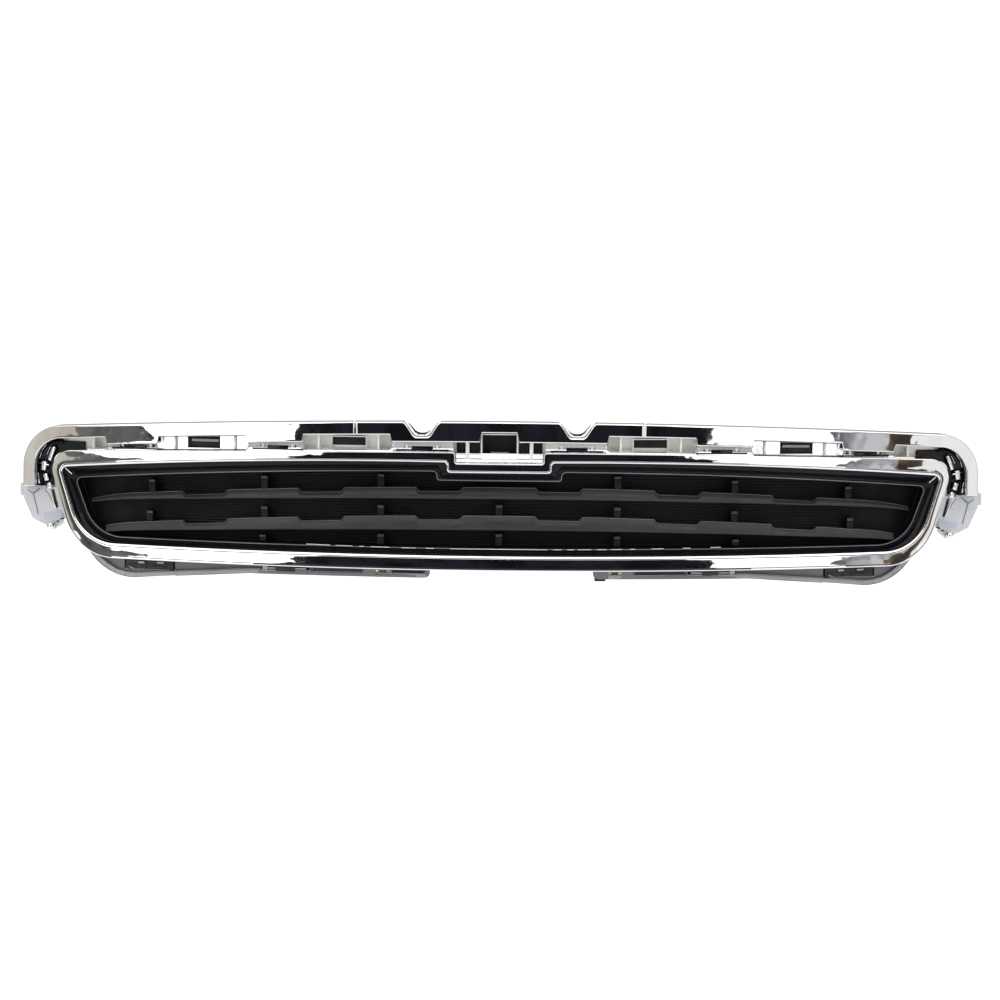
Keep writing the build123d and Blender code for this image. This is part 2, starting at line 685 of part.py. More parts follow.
def pieces():
    """Name and solid of every separate piece."""
    yield from thirds(chrome_band(), "chrome_band", SEAM_AT)
    yield from thirds(clip_channel(), "clip_channel", CHANNEL_CUT)
    yield "chrome_ring", chrome_ring()
    yield "bezel_frame", bezel_frame()
    yield "air_blocker_panel", air_blocker_panel()
    yield "louvre_upper", louvre(11, 5600, 468, 13)
    yield "louvre_lower", louvre(-20.7, 5000, 452, 16)
    yield "fins_upper", fin_row(((132, 24.5), (264, 20), (395, 12)), upper_foot)
    yield "fins_middle", fin_row(
        ((0, -8.2), (132, -10.3), (264, -14.7), (398, -23.9)), lower_foot)
    yield "fins_lower", fin_row(((0, -40.8), (132, -42.7), (266, -46.7)), floor_foot)
    yield from thirds(upper_carrier(), "upper_carrier", NOTCH_CENTRE)
    yield "window_clips", window_clips()
    yield "window_tabs", window_tabs()
    yield "end_clip_left", end_clip(-1)
    yield "end_clip_right", end_clip(1)
    yield "emblem_socket", emblem_socket()
    yield "socket_catch", socket_catch()
    yield "bracket_right", bracket()
    yield "bracket_left", to_left(bracket())
    yield "ball_stud_right", ball_stud()
    yield "ball_stud_left", to_left(ball_stud())
    yield "rail_right", lower_rail(RAIL_INNER_RIGHT)
    yield "rail_left", to_left(lower_rail(RAIL_INNER_LEFT))
    yield "rail_clip_inner_right", inner_clip()
    yield "rail_clip_inner_left", to_left(inner_clip())
    yield "rail_clip_outer_right", outer_clip()
    yield "rail_clip_outer_left", to_left(outer_clip())
    yield "clip_nut_right", clip_nut()
    yield "clip_nut_left", to_left(clip_nut())
    yield "rail_pad", rail_pad()


def upper_foot(x):
    """Height at which an upper fin stands on the upper louvre."""
    return 11 - x * x / (2 * 5600) + CLEAR


def lower_foot(x):
    """Height at which a middle fin stands on the lower louvre."""
    return -20.7 - x * x / (2 * 5000) + CLEAR + 0.5


def floor_foot(x):
    """Height at which a lower fin stands on the bezel's wall."""
    return -55.2 + x * x / 100000


def main():
    """Write one STEP file per piece."""
    os.makedirs("parts", exist_ok=True)
    for name, solid in pieces():
        placed = Pos(0, -CENTRE_Y, -CENTRE_Z) * solid
        export_step(placed, f"parts/{name}.step")
        print(name, round(placed.volume), len(placed.solids()), placed.is_valid)


if __name__ == "__main__":
    main()
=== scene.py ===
"""Front grille of a road car, as an add-on style Blender script.

The CAD frame is loaded first.  Each operator then adds one piece, or a group
of like pieces, shaped as numpy surfaces in the same frame, or gives the
carried-over CAD pieces their finish.  The last one builds the studio.
Objects and properties are in metres, outlines, profiles and bars in millimetres.
Depth is the distance behind the foremost bowed surface.
"""
import json
import math

import bpy
import numpy as np
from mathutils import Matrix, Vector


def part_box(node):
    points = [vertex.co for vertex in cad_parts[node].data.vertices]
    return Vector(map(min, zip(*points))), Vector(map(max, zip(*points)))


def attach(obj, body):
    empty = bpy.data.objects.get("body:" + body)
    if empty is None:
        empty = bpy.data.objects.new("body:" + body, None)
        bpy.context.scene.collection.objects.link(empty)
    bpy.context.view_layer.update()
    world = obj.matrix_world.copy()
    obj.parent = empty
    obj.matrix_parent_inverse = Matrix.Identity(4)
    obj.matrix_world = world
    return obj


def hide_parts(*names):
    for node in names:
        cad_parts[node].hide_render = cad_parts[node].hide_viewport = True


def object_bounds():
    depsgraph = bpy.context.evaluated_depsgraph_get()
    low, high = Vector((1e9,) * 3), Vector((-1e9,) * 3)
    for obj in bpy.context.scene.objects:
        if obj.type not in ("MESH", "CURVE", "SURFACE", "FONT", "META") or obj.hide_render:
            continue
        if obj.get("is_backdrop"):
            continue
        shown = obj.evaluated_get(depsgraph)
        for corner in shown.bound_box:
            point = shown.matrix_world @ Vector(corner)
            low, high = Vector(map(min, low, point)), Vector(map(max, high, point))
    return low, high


bl_info = {
    "name": "Front grille",
    "version": (1, 0, 0),
    "blender": (4, 5, 0),
    "location": "View3D > Sidebar > Grille",
    "description": "Builds the finished front grille on its CAD frame",
    "category": "Object",
}

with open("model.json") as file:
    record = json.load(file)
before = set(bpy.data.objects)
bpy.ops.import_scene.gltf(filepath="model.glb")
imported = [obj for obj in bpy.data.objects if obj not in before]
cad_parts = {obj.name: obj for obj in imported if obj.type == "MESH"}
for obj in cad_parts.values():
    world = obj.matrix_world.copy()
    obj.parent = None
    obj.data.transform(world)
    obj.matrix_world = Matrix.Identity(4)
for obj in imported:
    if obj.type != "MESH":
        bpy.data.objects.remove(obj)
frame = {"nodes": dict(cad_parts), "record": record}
MM = 0.001
SIDES = (-1, 1)
# how a grid of rows and columns is closed into a solid
TUBE = {"close_columns": True, "caps": True}
HOOP = {"close_columns": True, "close_rows": True}


# ----- sizes and colours -----
def length(label, default, text):
    """A length property in metres."""
    return bpy.props.FloatProperty(name=label, default=default, unit="LENGTH", description=text)


def colour(label, default, text):
    """A colour property."""
    return bpy.props.FloatVectorProperty(
        name=label, default=default, subtype="COLOR", size=3, min=0, max=1, description=text)


class GrilleSizes(bpy.types.PropertyGroup):
    """Driving sizes of the pieces made here."""
    bow_radius: length("Bow radius", 1.5, "Radius of the front seen from above")
    crown: length("Crown", 0.085, "Top of the surround above the opening's datum")
    top_arc: length("Top arc", 9.0, "Radius of the surround's top edge")
    half_width: length("Half width", 0.547, "Centre line to the outside of an end lobe")
    lobe_corner: length("Lobe corner", 0.047, "Radius of the upper outer corners")
    lobe_end: length("Lobe end", 0.001, "Height at which the end lobes stop")
    band_narrow: length("Narrow band", 0.0145, "Band height over the clip windows")
    band_wide: length("Wide band", 0.0225, "Band height over the hook slots")
    band_depth: length("Band depth", 0.010, "Depth of the band's seat")
    notch_at: length("Notch position", 0.086, "Centre line to a latch notch")
    notch_drop: length("Notch drop", 0.0165, "Depth of a latch notch")
    louvre_pitch: length("Louvre pitch", 0.133, "Spacing of the louvre notches")


class GrilleColours(bpy.types.PropertyGroup):
    """Base colours."""
    chrome: colour("Chrome", (0.86, 0.86, 0.87), "Bright plating")
    gloss: colour("Gloss black", (0.005, 0.005, 0.007), "Bezel")
    matt: colour("Matt black", (0.012, 0.012, 0.014), "Louvres, fins and clips")
    panel: colour("Panel black", (0.009, 0.009, 0.011), "Panel and fins")
    rail: colour("Rail grey", (0.16, 0.16, 0.17), "Lower rails")
    # Edge grey is a painted highlight: the pale line along the fine edges of the black pieces, the bezel's
    # opening and the louvres' upper edges
    edge: colour("Edge grey", (0.16, 0.16, 0.165), "Fine worn edges of the black pieces")
    trim: colour("Bright trim", (0.93, 0.92, 0.88), "Ribs, rims and lugs of the channel")
    pale: colour("Pale grey", (0.55, 0.56, 0.585), "End brackets")
    zinc: colour("Zinc", (0.80, 0.62, 0.30), "Clip nuts")
    spring: colour("Spring steel", (0.02, 0.02, 0.022), "Rail clips")
    catch: colour("Catch", (0.60, 0.54, 0.44), "Catch in the centre window")


def sizes():
    """The sizes of this scene."""
    return bpy.context.scene.grille_sizes


def colours():
    """The colours of this scene."""
    return bpy.context.scene.grille_colours


# ----- shared geometry -----
def bowed(x, z, depth):
    """Points on the bow: Y = front + R - sqrt((R - depth)^2 - X^2), Z measured from the datum."""
    s = sizes()
    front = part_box("chrome_ring")[0][1]
    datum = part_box("chrome_band_centre")[1][2] - s.crown
    x, z, depth = np.broadcast_arrays(x, z, depth)
    y = front + s.bow_radius - np.sqrt((s.bow_radius - depth) ** 2 - x ** 2)
    return np.stack([x, y, z + datum], axis=-1)


def onto_bow(flat, depth):
    """A grid of (X, Z) points carried onto the bow."""
    return bowed(flat[..., 0], flat[..., 1], depth)


def smooth_step(x, low, high):
    """0 below low, 1 above high, smooth between: 3t^2 - 2t^3."""
    t = np.clip((x - low) / (high - low), 0, 1)
    return t * t * (3 - 2 * t)


def full_turn(steps):
    """Angles once round, without the last one, which repeats the first."""
    return np.linspace(0, 2 * math.pi, steps, endpoint=False)


def squared_circle(steps, power):
    """A superellipse: |cos|^power and |sin|^power, each with its own sign."""
    turn = full_turn(steps)
    return np.stack([np.sign(np.cos(turn)) * np.abs(np.cos(turn)) ** power,
                     np.sign(np.sin(turn)) * np.abs(np.sin(turn)) ** power], 1)


def spline(points, steps):
    """Catmull-Rom curve: the cubic that leaves each point along its neighbours' chord."""
    p = np.asarray(points, float)
    p = np.concatenate([2 * p[:1] - p[1:2], p, 2 * p[-1:] - p[-2:-1]])
    t = np.linspace(0, 1, steps, endpoint=False)[None, :, None]
    a, b, c, d = p[:-3, None], p[1:-2, None], p[2:-1, None], p[3:, None]
    curve = 0.5 * (2 * b + (c - a) * t + (2 * a - 5 * b + 4 * c - d) * t ** 2
                   + (3 * b - a - 3 * c + d) * t ** 3)
    return np.concatenate([curve.reshape(-1, p.shape[1]), p[-2:-1]])


def grid_faces(rows, columns, close_rows, close_columns):
    """Quads of a grid whose rows and columns may each close on themselves."""
    i = np.arange(rows if close_rows else rows - 1)
    j = np.arange(columns if close_columns else columns - 1)
    i, j = [a.ravel() for a in np.meshgrid(i, j, indexing="ij")]
    i2, j2 = (i + 1) % rows, (j + 1) % columns
    return np.stack([i * columns + j, i * columns + j2, i2 * columns + j2, i2 * columns + j], 1)


def surface(name, points, material, close_rows=False, close_columns=False, flip=False,
            caps=False, copies=()):
    """One object from a grid of points.

    caps closes the first and last rows with a fan to their middles.  flip turns
    the faces round.  copies is a list of further grids of the same shape, joined
    into the same object.
    """
    grids = np.stack([points, *copies])
    rows, columns = points.shape[:2]
    verts = grids.reshape(len(grids), -1, 3)
    quads = grid_faces(rows, columns, close_rows, close_columns)
    tris = np.zeros((0, 3), int)
    if caps:
        verts = np.concatenate([verts, grids[:, [0, -1]].mean(2)], 1)
        pole, last = np.full(columns, rows * columns), (rows - 1) * columns
        ring, nxt = np.arange(columns), (np.arange(columns) + 1) % columns
        tris = np.concatenate([np.stack([pole, nxt, ring], 1),
                               np.stack([pole + 1, last + ring, last + nxt], 1)])
    first = np.arange(len(grids))[:, None, None] * verts.shape[1]
    quads, tris = (first + quads).reshape(-1, 4), (first + tris).reshape(-1, 3)
    if flip:
        quads, tris = quads[:, ::-1], tris[:, ::-1]
    mesh = bpy.data.meshes.new(name)
    mesh.from_pydata(verts.reshape(-1, 3), [], quads.tolist() + tris.tolist())
    mesh.validate()
    mesh.polygons.foreach_set("use_smooth", np.ones(len(mesh.polygons), bool))
    mesh.materials.append(material)
    thing = bpy.data.objects.new(name, mesh)
    bpy.context.scene.collection.objects.link(thing)
    return thing


def rounded_loop(corners, radii, bulges, edge_steps, corner_steps):
    """A closed outline with bulged edges and rounded corners.

    Edge i runs from corner i to corner i+1 as A + (B-A)s + 4 b s(1-s) n, where n
    is its left-hand normal and b its bulge.  Each corner is the conic
    ((1-t)^2 P + 2wt(1-t) C + t^2 Q) / ((1-t)^2 + 2wt(1-t) + t^2) with w the cosine
    of half the turn, which is a circular arc between straight edges.
    """
    a = np.asarray(corners, float)
    b = np.roll(a, -1, axis=0)
    chord = b - a
    size = np.hypot(*chord.T)
    normal = np.stack([-chord[:, 1], chord[:, 0]], 1) / size[:, None]
    bulge = np.asarray(bulges, float)[:, None]
    leave = chord + 4 * bulge * normal
    arrive = np.roll(chord - 4 * bulge * normal, 1, axis=0)
    cosine = (leave * arrive).sum(1) / np.hypot(*leave.T) / np.hypot(*arrive.T)
    turn = np.arccos(np.clip(cosine, -1, 1))
    trim = np.asarray(radii, float) * np.tan(turn / 2)
    low = trim / size
    high = 1 - np.roll(trim, -1) / size

    def along(i, t):
        """Points of edge i at the parameters t."""
        return a[i] + chord[i] * t[:, None] + 4 * bulge[i] * (t * (1 - t))[:, None] * normal[i]

    parts = []
    for i in range(len(a)):
        j = (i + 1) % len(a)
        t = low[i] + (high[i] - low[i]) * np.linspace(0, 1, edge_steps[i], endpoint=False)
        parts.append(along(i, t))
        p, q = along(i, high[i:i + 1]), along(j, low[j:j + 1])
        t = np.linspace(0, 1, corner_steps[j], endpoint=False)[:, None]
        w = math.cos(turn[j] / 2)
        down = (1 - t) ** 2 + 2 * w * t * (1 - t) + t ** 2
        parts.append(((1 - t) ** 2 * p + 2 * w * t * (1 - t) * b[i] + t ** 2 * q) / down)
    return np.concatenate(parts) * MM


def frame_loop(step, top_step, floor, shoulder, foot, radii, bulge_top, bulge_foot):
    """A loop shaped like the opening, clockwise from the right foot of the dropped centre.

    The half widths and heights are those of the step, the shoulder and the foot.
    """
    right = [(step, floor), (step, top_step), shoulder, foot]
    left = [(-x, z) for x, z in reversed(right)]
    r_step, r_shoulder, r_foot = radii
    radius = [r_step, r_step, r_shoulder, r_foot, r_foot, r_shoulder, r_step, r_step]
    bulges = [0, bulge_top, 0, bulge_foot, 0, bulge_top, 0, 0]
    edge_steps = [4, 150, 40, 260, 40, 150, 4, 40]
    corner_steps = [8, 8, 16, 40, 40, 16, 8, 8]
    return rounded_loop(right + left, radius, bulges, edge_steps, corner_steps)


def ring_outer_loop():
    """Outer edge of the chrome ring."""
    return frame_loop(49, 51.5, 39.1, (517.5, 42.8), (481.7, -76.5), (3, 22, 60), 1.9, 2.7)


def ring_inner_loop():
    """Inner edge of the chrome ring."""
    return frame_loop(58, 40, 28.7, (500, 24), (473.3, -59.3), (4, 6, 52), 5.2, 3.1)


def opening_loop():
    """Edge of the opening inside the bezel."""
    return frame_loop(70, 28.5, 18.5, (484.5, 10.8), (460.5, -53.5), (4, 5, 45), 4.2, 2.3)


def grown(loop, amount):
    """A closed loop moved outwards along its own normals."""
    ahead = np.roll(loop, -1, axis=0) - np.roll(loop, 1, axis=0)
    ahead /= np.maximum(np.hypot(*ahead.T), 1e-9)[:, None]
    return loop + np.stack([-ahead[:, 1], ahead[:, 0]], 1) * amount


def between(outer, inner, fraction):
    """Rows between two loops: P = outer (1 - f) + inner f."""
    f = fraction[:, None, None]
    return outer[None] * (1 - f) + inner[None] * f


# ----- materials -----
def ramp(nodes, low, high, low_at=0.3, high_at=0.7):
    """A colour ramp between two greys or colours."""
    node = nodes.new("ShaderNodeValToRGB")
    for stop, value, at in zip(node.color_ramp.elements, (low, high), (low_at, high_at)):
        stop.position = at
        stop.color = (*value, 1) if isinstance(value, tuple) else (value, value, value, 1)
    return node


def noise(nodes, links, coords, scale, detail, stretch=None):
    """Object-space noise, optionally stretched along the axes."""
    source = coords.outputs["Object"]
    if stretch:
        mapping = nodes.new("ShaderNodeMapping")
        mapping.inputs["Scale"].default_value = stretch
        links.new(source, mapping.inputs["Vector"])
        source = mapping.outputs["Vector"]
    node = nodes.new("ShaderNodeTexNoise")
    node.inputs["Scale"].default_value = scale
    node.inputs["Detail"].default_value = detail
    links.new(source, node.inputs["Vector"])
    return node


def finish_material(name, base, rough, grain, depth, metallic=0.0, vary=0.12, coat=0.0,
                    spread=0.35, wear=0.0, through=0.0, fine=4, gleam=0.5):
    """A procedural finish.

    base varies by vary over soft blotches; roughness runs rough*(1 +- spread) over
    smudges; grain, fine and depth are the bump's scale, detail and height; wear
    adds pale flecks; through is light scattered below the surface.
    """
    material = bpy.data.materials.new(name)
    material.use_nodes = True
    nodes, links = material.node_tree.nodes, material.node_tree.links
    shader = nodes["Principled BSDF"]
    coords = nodes.new("ShaderNodeTexCoord")
    blotch = noise(nodes, links, coords, 9, 5)
    low = tuple(c * (1 - vary) for c in base)
    high = tuple(min(1, c * (1 + vary)) for c in base)
    tint = ramp(nodes, low, high)
    links.new(blotch.outputs["Fac"], tint.inputs["Fac"])
    colour_out = tint.outputs["Color"]
    if wear:
        fleck = noise(nodes, links, coords, 420, 8)
        mask = ramp(nodes, 0.0, wear, 0.62, 0.75)
        links.new(fleck.outputs["Fac"], mask.inputs["Fac"])
        mix = nodes.new("ShaderNodeMixRGB")
        mix.inputs["Color2"].default_value = (0.6, 0.6, 0.6, 1)
        links.new(mask.outputs["Color"], mix.inputs["Fac"])
        links.new(colour_out, mix.inputs["Color1"])
        colour_out = mix.outputs["Color"]
    links.new(colour_out, shader.inputs["Base Color"])
    smudge = noise(nodes, links, coords, 34, 7)
    dull = ramp(nodes, rough * (1 - spread), rough * (1 + spread))
    links.new(smudge.outputs["Fac"], dull.inputs["Fac"])
    links.new(dull.outputs["Color"], shader.inputs["Roughness"])
    texture = noise(nodes, links, coords, grain, fine)
    bump = nodes.new("ShaderNodeBump")
    bump.inputs["Strength"].default_value = 1.0
    bump.inputs["Distance"].default_value = depth
    links.new(texture.outputs["Fac"], bump.inputs["Height"])
    links.new(bump.outputs["Normal"], shader.inputs["Normal"])
    shader.inputs["Metallic"].default_value = metallic
    shader.inputs["Specular IOR Level"].default_value = gleam
    if coat:
        shader.inputs["Coat Weight"].default_value = coat
        shader.inputs["Coat Roughness"].default_value = 0.08
    if through:
        shader.inputs["Subsurface Weight"].default_value = through
        shader.inputs["Subsurface Radius"].default_value = (0.004, 0.004, 0.005)
    return material


def palette():
    """Every finish by name, made once."""
    made = {m.name[len("finish_"):]: m for m in bpy.data.materials if m.name.startswith("finish_")}
    if made:
        return made
    c = colours()
    # base colour, roughness, scale of the grain, height of the bump, what else differs
    specs = {
        "chrome": (c.chrome, 0.09, 16, 0.00004, dict(metallic=1.0, vary=0.02, spread=0.4)),
        "chrome_show": (c.chrome, 0.035, 26, 0.0005, dict(metallic=1.0, vary=0.02, spread=0.6, fine=2)),
        # painted shade: near-black metal for the ring grooves, hook slot gaps, end troughs and bracket
        # slits, which look dark from shade
        "chrome_black": ((0.03, 0.03, 0.033), 0.1, 40, 0.0001, dict(metallic=0.9, vary=0.3)),
        "trim": (c.trim, 0.25, 160, 0.00006, dict(vary=0.06, coat=0.5)),
        "chrome_cove": (c.chrome, 0.12, 120, 0.00012, dict(metallic=1.0, vary=0.04, spread=0.5)),
        # painted highlight: the fin tops paler where light from above falls on them
        "fin_head": ((0.026, 0.026, 0.028), 0.45, 500, 0.00005, dict(vary=0.2)),
        # painted shade: dark plates in the rails' pockets; its pale flecks are wear
        "rail_dark": ((0.018, 0.018, 0.021), 0.4, 700, 0.00006, dict(vary=0.2, wear=0.03)),
        # painted light: the same plastic as the rails, lighter where light falls on the lips; also the
        # painted glints in the windows
        "rail_lip": ((0.3, 0.3, 0.31), 0.4, 900, 0.00006, dict(wear=0.05)),
        # painted highlight for the bright line along the black pieces' fine edges; its pale flecks are
        # wear
        "edge": (c.edge, 0.35, 300, 0.00004, dict(vary=0.35, wear=0.1)),
        "panel_black": (c.panel, 0.55, 900, 0.0001, dict(vary=0.3, wear=0.02, gleam=0.14)),
        "gloss_black": (c.gloss, 0.16, 60, 0.00005, dict(vary=0.3, wear=0.02, gleam=0.17)),
        "matt_black": (c.matt, 0.46, 900, 0.00012, dict(vary=0.18, wear=0.04, gleam=0.3)),
        "rail_grey": (c.rail, 0.42, 1100, 0.0001, dict(vary=0.14, wear=0.05)),
        "pale_grey": (c.pale, 0.3, 240, 0.00006, dict(vary=0.05, through=0.3)),
        "zinc": (c.zinc, 0.3, 500, 0.00008, dict(metallic=1.0, vary=0.3)),
        "spring_black": (c.spring, 0.38, 700, 0.00008, dict(metallic=0.2, vary=0.3, wear=0.06)),
        "louvre_black": ((0.033, 0.033, 0.036), 0.42, 900, 0.0001, dict(vary=0.18, wear=0.04, gleam=0.32)),
        # painted light: bluish tone for the bracket's facets, which face the light differently from the
        # rest of the pale plastic
        "facet": ((0.46, 0.48, 0.56), 0.3, 240, 0.00006, dict(vary=0.08, through=0.2)),
        # painted shade: dark grey lines in the bracket's creases, under the band's lip and along the
        # ring's top edge
        "crease": ((0.2, 0.2, 0.225), 0.45, 300, 0.00005, dict()),
        "rod": ((0.42, 0.42, 0.43), 0.35, 300, 0.00005, dict(vary=0.15)),
        "catch_tan": (c.catch, 0.4, 500, 0.00006, dict()),
    }
    return {name: finish_material("finish_" + name, *numbers, **more)
            for name, (*numbers, more) in specs.items()}


# ----- placing -----
def place(thing, slot, *replaced):
    """Hang a finished piece on the frame."""
    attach(thing, "root")
    if replaced:
        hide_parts(*replaced)
    return thing


def piece(name, finish, slot, points, *replaced, **form):
    """One surface in a finish, hung on the frame."""
    return place(surface(name, points, palette()[finish], **form), slot, *replaced)


# ----- bars and plates -----
def bar(start, end, width, front, back):
    """A closed rounded bar between two points of the front view, all in millimetres.

    Its section is a superellipse between two depths; near its ends it narrows.
    """
    start, end = np.asarray(start, float), np.asarray(end, float)
    along = end - start
    size = math.hypot(*along)
    side = np.array([-along[1], along[0]]) / size
    tip = min(0.6, size / 4)
    t = np.array([0.0, 0.3, 1.0]) * tip / size
    t = np.concatenate([t, 1 - t[::-1]])
    narrow = np.array([0.72, 0.94, 1.0, 1.0, 0.94, 0.72])[:, None]
    unit = squared_circle(20, 0.55)
    across, inward = unit[:, 0] * narrow, unit[:, 1] * narrow
    flat = start + along * t[:, None, None] + side * (across * width / 2)[..., None]
    depth = (front + back) / 2 - inward * (back - front) / 2
    return onto_bow(flat * MM, depth * MM)


def plate(low, high, foot, head, front, back):
    """A closed flat plate with softened edges, in millimetres of the front view and depth."""
    low, high = min(low, high), max(low, high)
    unit = squared_circle(32, 0.12)
    half = np.array([high - low, head - foot]) / 2
    inset = np.array([0.0, 0.0, 0.15, 0.4, 0.6, 1.0])[:, None, None]
    depth = np.array([back, front + 0.4, front + 0.1, front, front, front])[:, None]
    flat = unit[None] * (half - inset) + (np.array([low + high, foot + head]) / 2)
    return onto_bow(flat * MM, depth * MM)


def bars(name, finish, slot, specs):
    """One object from several bars."""
    grids = [bar(*spec) for spec in specs]
    return piece(name, finish, slot, grids[0], copies=grids[1:], **TUBE)


def level(x, z, half, *rest):
    """Spec of a level bar from its middle and half length."""
    return ((x - half, z), (x + half, z), *rest)


def mirrored(side, specs):
    """Bar specs of the right half, on the given side."""
    return [((side * p[0], p[1]), (side * q[0], q[1]), *rest) for p, q, *rest in specs]


def both_sides(specs):
    """Bar specs of the right half, on the left and then on the right."""
    return mirrored(-1, specs) + mirrored(1, specs)


# ----- surround -----
def surround_path():
    """Outer edge of the surround from the left lobe's end over the top to the right one's.

    Each point carries its inward normal.  The top is Z = crown - R + sqrt(R^2 - X^2),
    the corners are circular and the lobes run straight down.
    """
    s = sizes()
    lobe_steps, corner_steps, top_steps = 24, 48, 1640
    corner, edge = s.lobe_corner, s.half_width
    drop = s.top_arc - math.sqrt(s.top_arc ** 2 - (edge - corner) ** 2)
    top = s.crown - drop
    centre_z = top - corner
    side_z = np.linspace(s.lobe_end, centre_z, lobe_steps, endpoint=False)
    turn = np.linspace(0, math.pi / 2, corner_steps, endpoint=False)
    x = np.linspace(-(edge - corner), edge - corner, top_steps)
    left = np.stack([-edge + 0 * side_z, side_z], 1)
    arc = np.stack([-edge + corner - corner * np.cos(turn), centre_z + corner * np.sin(turn)], 1)
    crest = np.stack([x, s.crown - s.top_arc + np.sqrt(s.top_arc ** 2 - x ** 2)], 1)
    right_arc, right = arc[::-1] * (-1, 1), left[::-1] * (-1, 1)
    path = np.concatenate([left, arc, crest, right_arc, right])
    ahead = np.gradient(path, axis=0)
    ahead /= np.hypot(*ahead.T)[:, None]
    return path, np.stack([ahead[:, 1], -ahead[:, 0]], 1)


def is_top(path):
    """Which points of the surround's edge lie on its top, not on a lobe."""
    top_band = 0.02
    return path[:, 1] > sizes().crown - top_band


def band_limits(path):
    """Distance from the surround's edge to the band's upper and lower limits along the path.

    The upper limit drops into the two latch notches.  The lower one is far off
    over the hook slots, nearer over the clip windows, nearest over the centre window.
    """
    s = sizes()
    x = np.abs(path[:, 0])
    wide_stretches = ((0.0, 0.120), (0.219, 0.282), (0.385, 0.446))
    ramp_half = 0.0012
    centre_half, centre_ramp_end, centre_height = 0.0195, 0.0222, 0.0122
    notch_floor_half, notch_mouth_half = 0.006, 0.0215
    wide = np.zeros(len(x))
    for low, high in wide_stretches:
        rise = smooth_step(x, low - ramp_half, low + ramp_half) if low else 1.0
        wide = np.maximum(wide, rise * (1 - smooth_step(x, high - ramp_half, high + ramp_half)))
    low_edge = s.band_narrow + (s.band_wide - s.band_narrow) * wide
    lift = 1 - smooth_step(x, centre_half, centre_ramp_end)
    low_edge = low_edge * (1 - lift) + centre_height * lift
    away = np.abs(x - s.notch_at)
    notch = s.notch_drop * (1 - smooth_step(away, notch_floor_half, notch_mouth_half))
    return np.where(is_top(path), notch, 0), np.where(is_top(path), low_edge, s.band_narrow)


def notch_lips():
    """Bar specs along the flanks and the floor of both latch notches."""
    half = [(5.0, 69.4), (8.8, 72.0), (12.6, 77.6), (16.9, 83.0)]
    chain = [(-x, z) for x, z in reversed(half)] + half
    floor_width, flank_width, front, back = 1.6, 2.8, 11.2, 15.5
    specs = []
    for notch in (-sizes().notch_at / MM, sizes().notch_at / MM):
        for a, b in zip(chain, chain[1:]):
            width = floor_width if a[1] == b[1] else flank_width
            specs.append(((notch + a[0], a[1]), (notch + b[0], b[1]), width, front, back))
    return specs


class GRILLE_OT_band(bpy.types.Operator):
    """Adds the bright convex skin of the chrome band and the lips of its latch notches"""
    bl_idname = "grille.band"
    bl_label = "Chrome band skin"

    def execute(self, context):
        """P(s, w) = edge(s) + n(s) w for w from top(s) to low(s), with a raked face and rolled edges.

        A V groove marks each upright seam, and the lobes stand further forward towards their ends.
        """
        s = sizes()
        rake_depth, rolled_over = 1.6 * MM, -0.0004
        seam_at, seam_half, seam_depth = 0.162, 0.0042, 1.5 * MM
        lobe_top, lobe_slope = 0.052, 0.06
        path, normal = surround_path()
        top, low = band_limits(path)
        upper = spline([(0.03, 0.0), (0.03, -0.4), (0.15, -0.9), (0.7, -1.55), (1.5, -1.9),
                        (2.4, -2.0)], 4) * MM
        lower = spline([(-1.9, 0.0), (-1.2, 0.05), (-0.6, 0.35), (-0.15, 0.95), (0.0, 1.7),
                        (0.0, 3.2)], 4) * MM
        face = np.linspace(0, 1, 12)[1:-1, None]
        first, last = top + upper[-1, 0], low + lower[0, 0]
        inset = np.concatenate([
            top[None] + upper[:, :1], first[None] + (last - first)[None] * face,
            low[None] + lower[:, :1]])
        rake = -rake_depth * np.clip(inset - upper[-1, 0], 0, None) / s.band_wide
        roll = np.concatenate([upper[:, 1], 0 * face[:, 0] + upper[-1, 1],
                               lower[:, 1] + upper[-1, 1]])[:, None]
        seam = seam_depth * np.clip(1 - np.abs(np.abs(path[:, 0]) - seam_at) / seam_half, 0, 1)
        seam = np.where(is_top(path), seam, 0)
        depth = s.band_depth + np.where(roll < rolled_over, rake, 0) + roll
        depth = np.minimum(depth + seam[None], s.band_depth)
        depth -= lobe_slope * np.clip(lobe_top - path[None, :, 1], 0, None)
        points = onto_bow(path[None] + normal[None] * inset[..., None], depth)
        piece("band_skin", "chrome_show", "chrome", points.transpose(1, 0, 2), **TUBE)
        bars("notch_lips", "trim", "chrome", notch_lips())
        return {"FINISHED"}


# ----- ring and bezel -----
def ring_lean(z):
    """Depth added by the lean of the ring's upper and lower strips, both set back with height.

    Beyond its start a strip adds tan(angle) ln(1 + exp(d / soft)) soft at distance d.
    """
    soft = 0.003
    upper_start, upper_angle = 0.028, math.radians(6.5)
    lower_start, lower_angle = -0.062, math.radians(9)
    upper = math.tan(upper_angle) * np.logaddexp(0, (z - upper_start) / soft) * soft
    return upper - math.tan(lower_angle) * np.logaddexp(0, (lower_start - z) / soft) * soft


